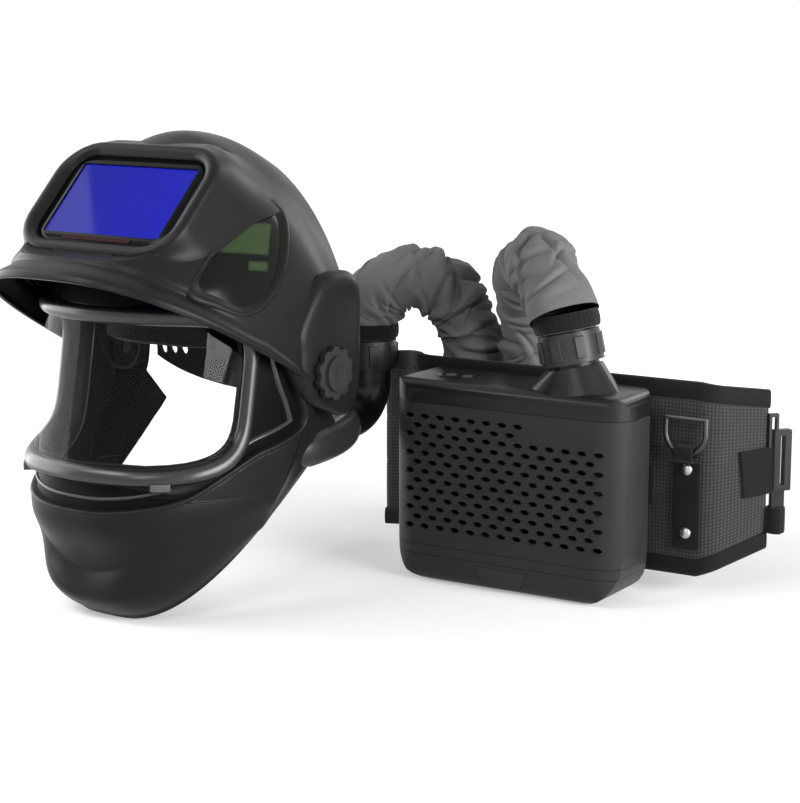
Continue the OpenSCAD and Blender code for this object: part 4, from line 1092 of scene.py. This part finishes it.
def bent(q, flat, slant):
    """Reach, depth and heading of a belt that is flat, bends back, runs slanted and turns out again."""
    turn = np.clip((q - flat) / BELT_BEND, 0, BELT_TURN)
    run = np.clip(q - flat - BELT_ARC, 0, slant)
    out = np.clip((q - flat - BELT_ARC - slant) / BELT_BEND, 0, BELT_TURN)
    rest = np.maximum(0, q - flat - 2 * BELT_ARC - slant)
    reach = np.minimum(q, flat) + BELT_BEND * (2 * np.sin(turn) - np.sin(turn - out)) + rest
    back = BELT_FRONT + BELT_BEND * (1 - 2 * np.cos(turn) + np.cos(turn - out))
    return reach + run * math.cos(BELT_TURN), back + run * math.sin(BELT_TURN), turn - out


def belt_place(s):
    """Place and heading along the belt; the left wing is bent back behind the elbow."""
    right, left = bent(np.abs(s), BELT_RIGHT, BELT_END), bent(np.abs(s), BELT_LEFT, LEFT_SLANT)
    reach, back, turn = (np.where(s < 0, b, a) for a, b in zip(right, left))
    return np.sign(s) * reach, back, np.sign(s) * turn


def belt_point(s, f, deep):
    """Point of the belt: length from the middle, share of its height, depth behind its front."""
    s, f, deep = np.broadcast_arrays(np.asarray(s, float), f, deep)
    x, y, turn = belt_place(s)
    grow = np.clip((np.abs(s) - BELT_RIGHT) / (BELT_END - BELT_RIGHT), 0, None)
    low = BELT_LOW + np.where(s < 0, -6, 22) * grow
    top = BELT_LOW + BELT_H + 3 - 8 * grow
    return np.stack([x - deep * np.sin(turn), y + deep * np.cos(turn), low + (top - low) * f], -1)


def make_belt_pad():
    """Padded belt: crowned panels between sewn channels, thin at its edges."""
    s = np.linspace(-BELT_END, BELT_END, 221)[None, :]
    round_f = np.linspace(0, 1, 80, endpoint=False)[:, None]
    front = round_f < 0.5
    f = np.where(front, 2 * round_f, 2 - 2 * round_f)
    crown = np.clip(1 - np.abs(2 * f - 1) ** 8, 0, 1) ** 0.5
    sewn = sum(np.exp(-((f - line) / 0.012) ** 2) for line in (0.36, 0.64))
    ends = np.clip(1 - np.abs(s / (BELT_END + 0.5)) ** 60, 0.05, 1) ** 0.5
    thick = BELT_T / 2 * (0.35 + 0.65 * crown) * ends - 1.0 * sewn
    deep = BELT_T / 2 + np.where(front, -thick, thick)
    points = belt_point(s, 0.02 + 0.96 * f, deep)
    uv = stacked(s * MM, f * BELT_H * MM + np.where(front, 0, 1))
    made = piece("belt_pad_cloth", points, belt_faces(points), "base", BELT_CLOTH,
                 ["belt_pad"], uv)


def belt_faces(points):
    """Quads of a closed skin whose rows run round the pad, with both ends shut."""
    rows, cols = points.shape[:2]
    faces = grid_faces(points, close=True)
    for j, flip in ((0, False), (cols - 1, True)):
        for i in range(rows // 2):
            quad = (i * cols + j, (i + 1) * cols + j, ((rows - i - 1) % rows) * cols + j,
                    ((rows - i) % rows) * cols + j)
            if len(set(quad)) > 2:
                faces.append(tuple(reversed(quad)) if flip else quad)
    return faces


def make_belt_binding():
    """Folded tape round the pad's upper and lower edges, with a stitched ridge."""
    s = np.linspace(-BELT_END, BELT_END, 201)
    w = full_turn(20)
    up = 8 * signed_power(np.sin(w), 0.6)[None, :]
    out = BELT_T * 0.4 * signed_power(np.cos(w), 0.6)[None, :]
    stitch = 0.25 * np.sin(s / 1.6)[:, None] * (np.abs(np.cos(w)) > 0.9)[None, :]
    uv = stacked(s[:, None] * MM, w[None, :] * 0.006)
    for word, f in (("low", 0.0), ("high", 1.0)):
        points = belt_point(s[:, None], f, BELT_T * 0.35 + out)
        points[..., 2] += up + stitch
        piece(f"belt_binding_{word}", points, grid_faces(points, wrap=True), "base", BINDING,
              ["belt_binding"] if word == "high" else [], uv)


def strap(name, centre, wide, thick, replaced=(), across=(0.0, 0.0, 1.0)):
    """Flat webbing along a line of points, with rolled selvedges."""
    path = np.asarray(centre, float)
    ahead = headings(path)
    side = np.array(across) - ahead * (ahead @ across)[:, None]
    side /= np.linalg.norm(side, axis=1, keepdims=True)
    lift = np.cross(ahead, side)
    w = full_turn(28)
    a = signed_power(np.cos(w), 0.3) * wide / 2
    b = signed_power(np.sin(w), 0.5) * thick / 2
    points = path[:, None] + side[:, None] * a[None, :, None] + lift[:, None] * b[None, :, None]
    uv = stacked(a[None, :] * MM, run_along(path)[:, None] * MM)
    faces = grid_faces(points, wrap=True) + end_faces(points)
    piece(name, points, faces, "base", WEBBING, replaced, uv)


def wing_end(side, x, y, z):
    """Point by a wing's buckle: along the belt, backwards, up."""
    s = BELT_END + 8 if side > 0 else 30 - BELT_END
    at = belt_point(s, 0, 0 if side > 0 else BELT_T + 7)
    turn = belt_place(s)[2]
    return np.array([at[0] + x * math.cos(turn) - y * math.sin(turn),
                     at[1] + x * math.sin(turn) + y * math.cos(turn), BELT_LOW + z])


# Width and thickness of the webbing ends, of their rolled up length, and of the ring's strap and loop
WEBBING_SIZE, ROLL_SIZE = (40, 2.4), (22, 1.7)
RING_STRAP_SIZE, RING_LOOP_SIZE = (24, 3.0), (18, 1.8)
# Height of the rolls above the belt's lower edge, place of the ring's bar and radius of the loop round it
ROLL_UP = 39
RING_X, RING_Y, RING_Z = HALF_W + 22, BELT_FRONT - 8, 0.7 * BLOWER_H
RING_LOOP_R = 6.5


def make_webbing():
    """Webbing ends with the spare length rolled up; the left one is folded behind the pad."""
    runs = {"right": (1, np.linspace(BELT_END - 26, BELT_END + 6, 16), -1.2),
            "left": (-1, np.linspace(4, 30, 16) - BELT_END, BELT_T + 2.4)}
    for word, (side, s, deep) in runs.items():
        replaced = ["belt_webbing"] if side > 0 else ()
        strap(f"webbing_{word}", belt_point(s, 0.5, deep), *WEBBING_SIZE, replaced)
        turn = np.linspace(0, 5.5 * math.pi, 90)
        r = 2.0 + 1.25 * turn / math.pi
        roll = [wing_end(side, q * math.cos(k), q * math.sin(k), ROLL_UP) for q, k in zip(r, turn)]
        strap(f"webbing_roll_{word}", roll, *ROLL_SIZE)


def make_stud(name, z):
    """Domed stud through the ring's strap; the profile is radius against reach to the front."""
    profile = [(0.2, 2.6), (1.6, 2.5), (3.2, 2.0), (4.4, 1.2), (5.0, 0.3), (5.0, -0.8)]
    turns = full_turn(48)
    ring = stacked(np.cos(turns), 0.0, np.sin(turns))
    points = np.array([(RING_X, BELT_FRONT - 4.2, z) + r * ring - [0, out, 0] for r, out in profile])
    piece(name, points, turned_over(grid_faces(points, wrap=True)), "base", STEEL)


def make_ring_strap():
    """Webbing that carries the ring, sewn to the belt, with a stud at each end."""
    low = BELT_LOW + 16
    loop = [(RING_X, RING_Y + RING_LOOP_R * math.cos(k), RING_Z + RING_LOOP_R * math.sin(k))
            for k in np.linspace(-0.25 * math.pi, 1.35 * math.pi, 28)]
    front = [(RING_X, BELT_FRONT - 2.6, z) for z in np.linspace(RING_Z - 7.5, low, 40)]
    strap("ring_strap", front, *RING_STRAP_SIZE, ["ring_loop"], across=(1.0, 0.0, 0.0))
    strap("ring_strap_loop", loop, *RING_LOOP_SIZE, across=(1.0, 0.0, 0.0))
    make_stud("strap_stud_upper", RING_Z - 14)
    make_stud("strap_stud_lower", low + 14)


# Blower details

# Vents: rows, columns either side of the middle, steps between them, and the width and sag of a vent
VENT_ROWS, VENT_COLS, VENT_STEP_X, VENT_STEP_Z = 13, 6, 15, 8
VENT_HALF_W, VENT_SAG, VENT_TOP = 5.6, 2.3, BLOWER_H - 31
LIP_POINTS = 9
LIP_PROFILE = [(0.1, -0.4), (0.3, 0.5), (0.8, 0.8), (1.6, -0.1)]


def vent_lip(x, z):
    """Rows of points down the raised lower lip of one vent."""
    q = np.linspace(-1, 1, LIP_POINTS)
    arch = 1 - np.abs(q) ** 2.2
    rows = [(x + VENT_HALF_W * q, -HALF_D - out * arch ** 0.5,
             z - (VENT_SAG * arch ** 0.8 + drop * arch ** 0.6 - 0.2)) for drop, out in LIP_PROFILE]
    return np.array(rows).transpose(0, 2, 1)


def make_vent_lips():
    """Raised lower lips of the vents, as one piece on the cover; the corner under the spout has none."""
    lips = []
    for k in range(VENT_ROWS):
        for i in range(-VENT_COLS, VENT_COLS + 1):
            x = (i + (k % 2) / 2) * VENT_STEP_X
            if abs(x) < HALF_W - 22 and not (k < 2 and x > 18):
                lips.append(vent_lip(x, VENT_TOP - k * VENT_STEP_Z))
    quads = np.roll(turned_over(grid_faces(lips[0])), 1, axis=1)
    faces = np.concatenate([quads + k * lips[0].size // 3 for k in range(len(lips))])
    piece("vent_lips", np.array(lips), faces, "filter_cover", HOUSING)


# Materials of the CAD pieces that stay

CAD_LOOKS = {
    DUCT: ["duct_elbow", "elbow_collar", "outlet_collar"],
    GLOSS: ["filter_case", "catch_left", "catch_right", "control_panel"],
    HOUSING: ["pivot_bolts", "knob_left", "knob_right", "rear_housing", "filter_cover", "battery_pack",
              "belt_bracket", "buckle"],
    LATCH: ["battery_latch"],
    INNER: ["headband", "crown_straps", "side_arms", "fan_scroll", "fan_wheel"],
    RUBBER: ["visor_gasket", "ratchet_knob", "filter_gasket"],
    PALE: ["visor_catches", "power_button", "flow_button"],
    STEEL: ["fan_motor"],
    SCREEN: ["spark_screen"],
    DARK_STEEL: ["housing_screws", "d_ring"],
    DECK: ["top_housing"],
    BLUE_PAINTED_GLOW: ["blue_filter"],
    RED_PRINT: ["sensor_strip"],
    PAPER: ["particle_filter"],
    BOARD: ["circuit_board"],
}
# Widths of the rounded edges of CAD pieces
SOFT_EDGES = {
    0.3: ["power_button", "flow_button"],
    0.4: ["control_panel"],
    0.8: ["elbow_collar", "outlet_collar", "battery_latch", "ratchet_knob"],
    0.9: ["knob_left", "knob_right"],
    1.0: ["catch_left", "catch_right", "buckle", "side_arms"],
    1.2: ["visor_catches"],
}


def dress_cad():
    """Materials, smooth curved faces and rounded edges for the CAD pieces that stay."""
    edge_widths = {name: width for width, names in SOFT_EDGES.items() for name in names}
    for look, names in CAD_LOOKS.items():
        for name in names:
            made = nodes[name]
            made.data.materials.clear()
            made.data.materials.append(look)
            smooth_facets(made, edge_widths.get(name))


def smooth_facets(made, edge_width):
    """Shades a CAD mesh smoothly over its small facets and rounds its edges where a width is given."""
    if made.data.has_custom_normals:
        made.data.attributes.remove(made.data.attributes["custom_normal"])
    made.data.shade_smooth()
    made.modifiers.new("weld", "WELD").merge_threshold = 0.01 * MM
    if edge_width:
        bevel = made.modifiers.new("soft_edges", "BEVEL")
        bevel.width = edge_width * MM
        bevel.segments = 3
        bevel.limit_method = "ANGLE"
        bevel.angle_limit = math.radians(35)
    made.modifiers.new("creases", "EDGE_SPLIT").split_angle = math.radians(32)


make_stage()
make_hose()
make_duct()
make_face_shell()
make_visor()
make_shield()
make_cover_lens()
make_ear_pads()
make_face_seal()
make_brow_pad()
make_cradle()
make_belt_pad()
make_belt_binding()
make_webbing()
make_ring_strap()
make_vent_lips()
dress_cad()
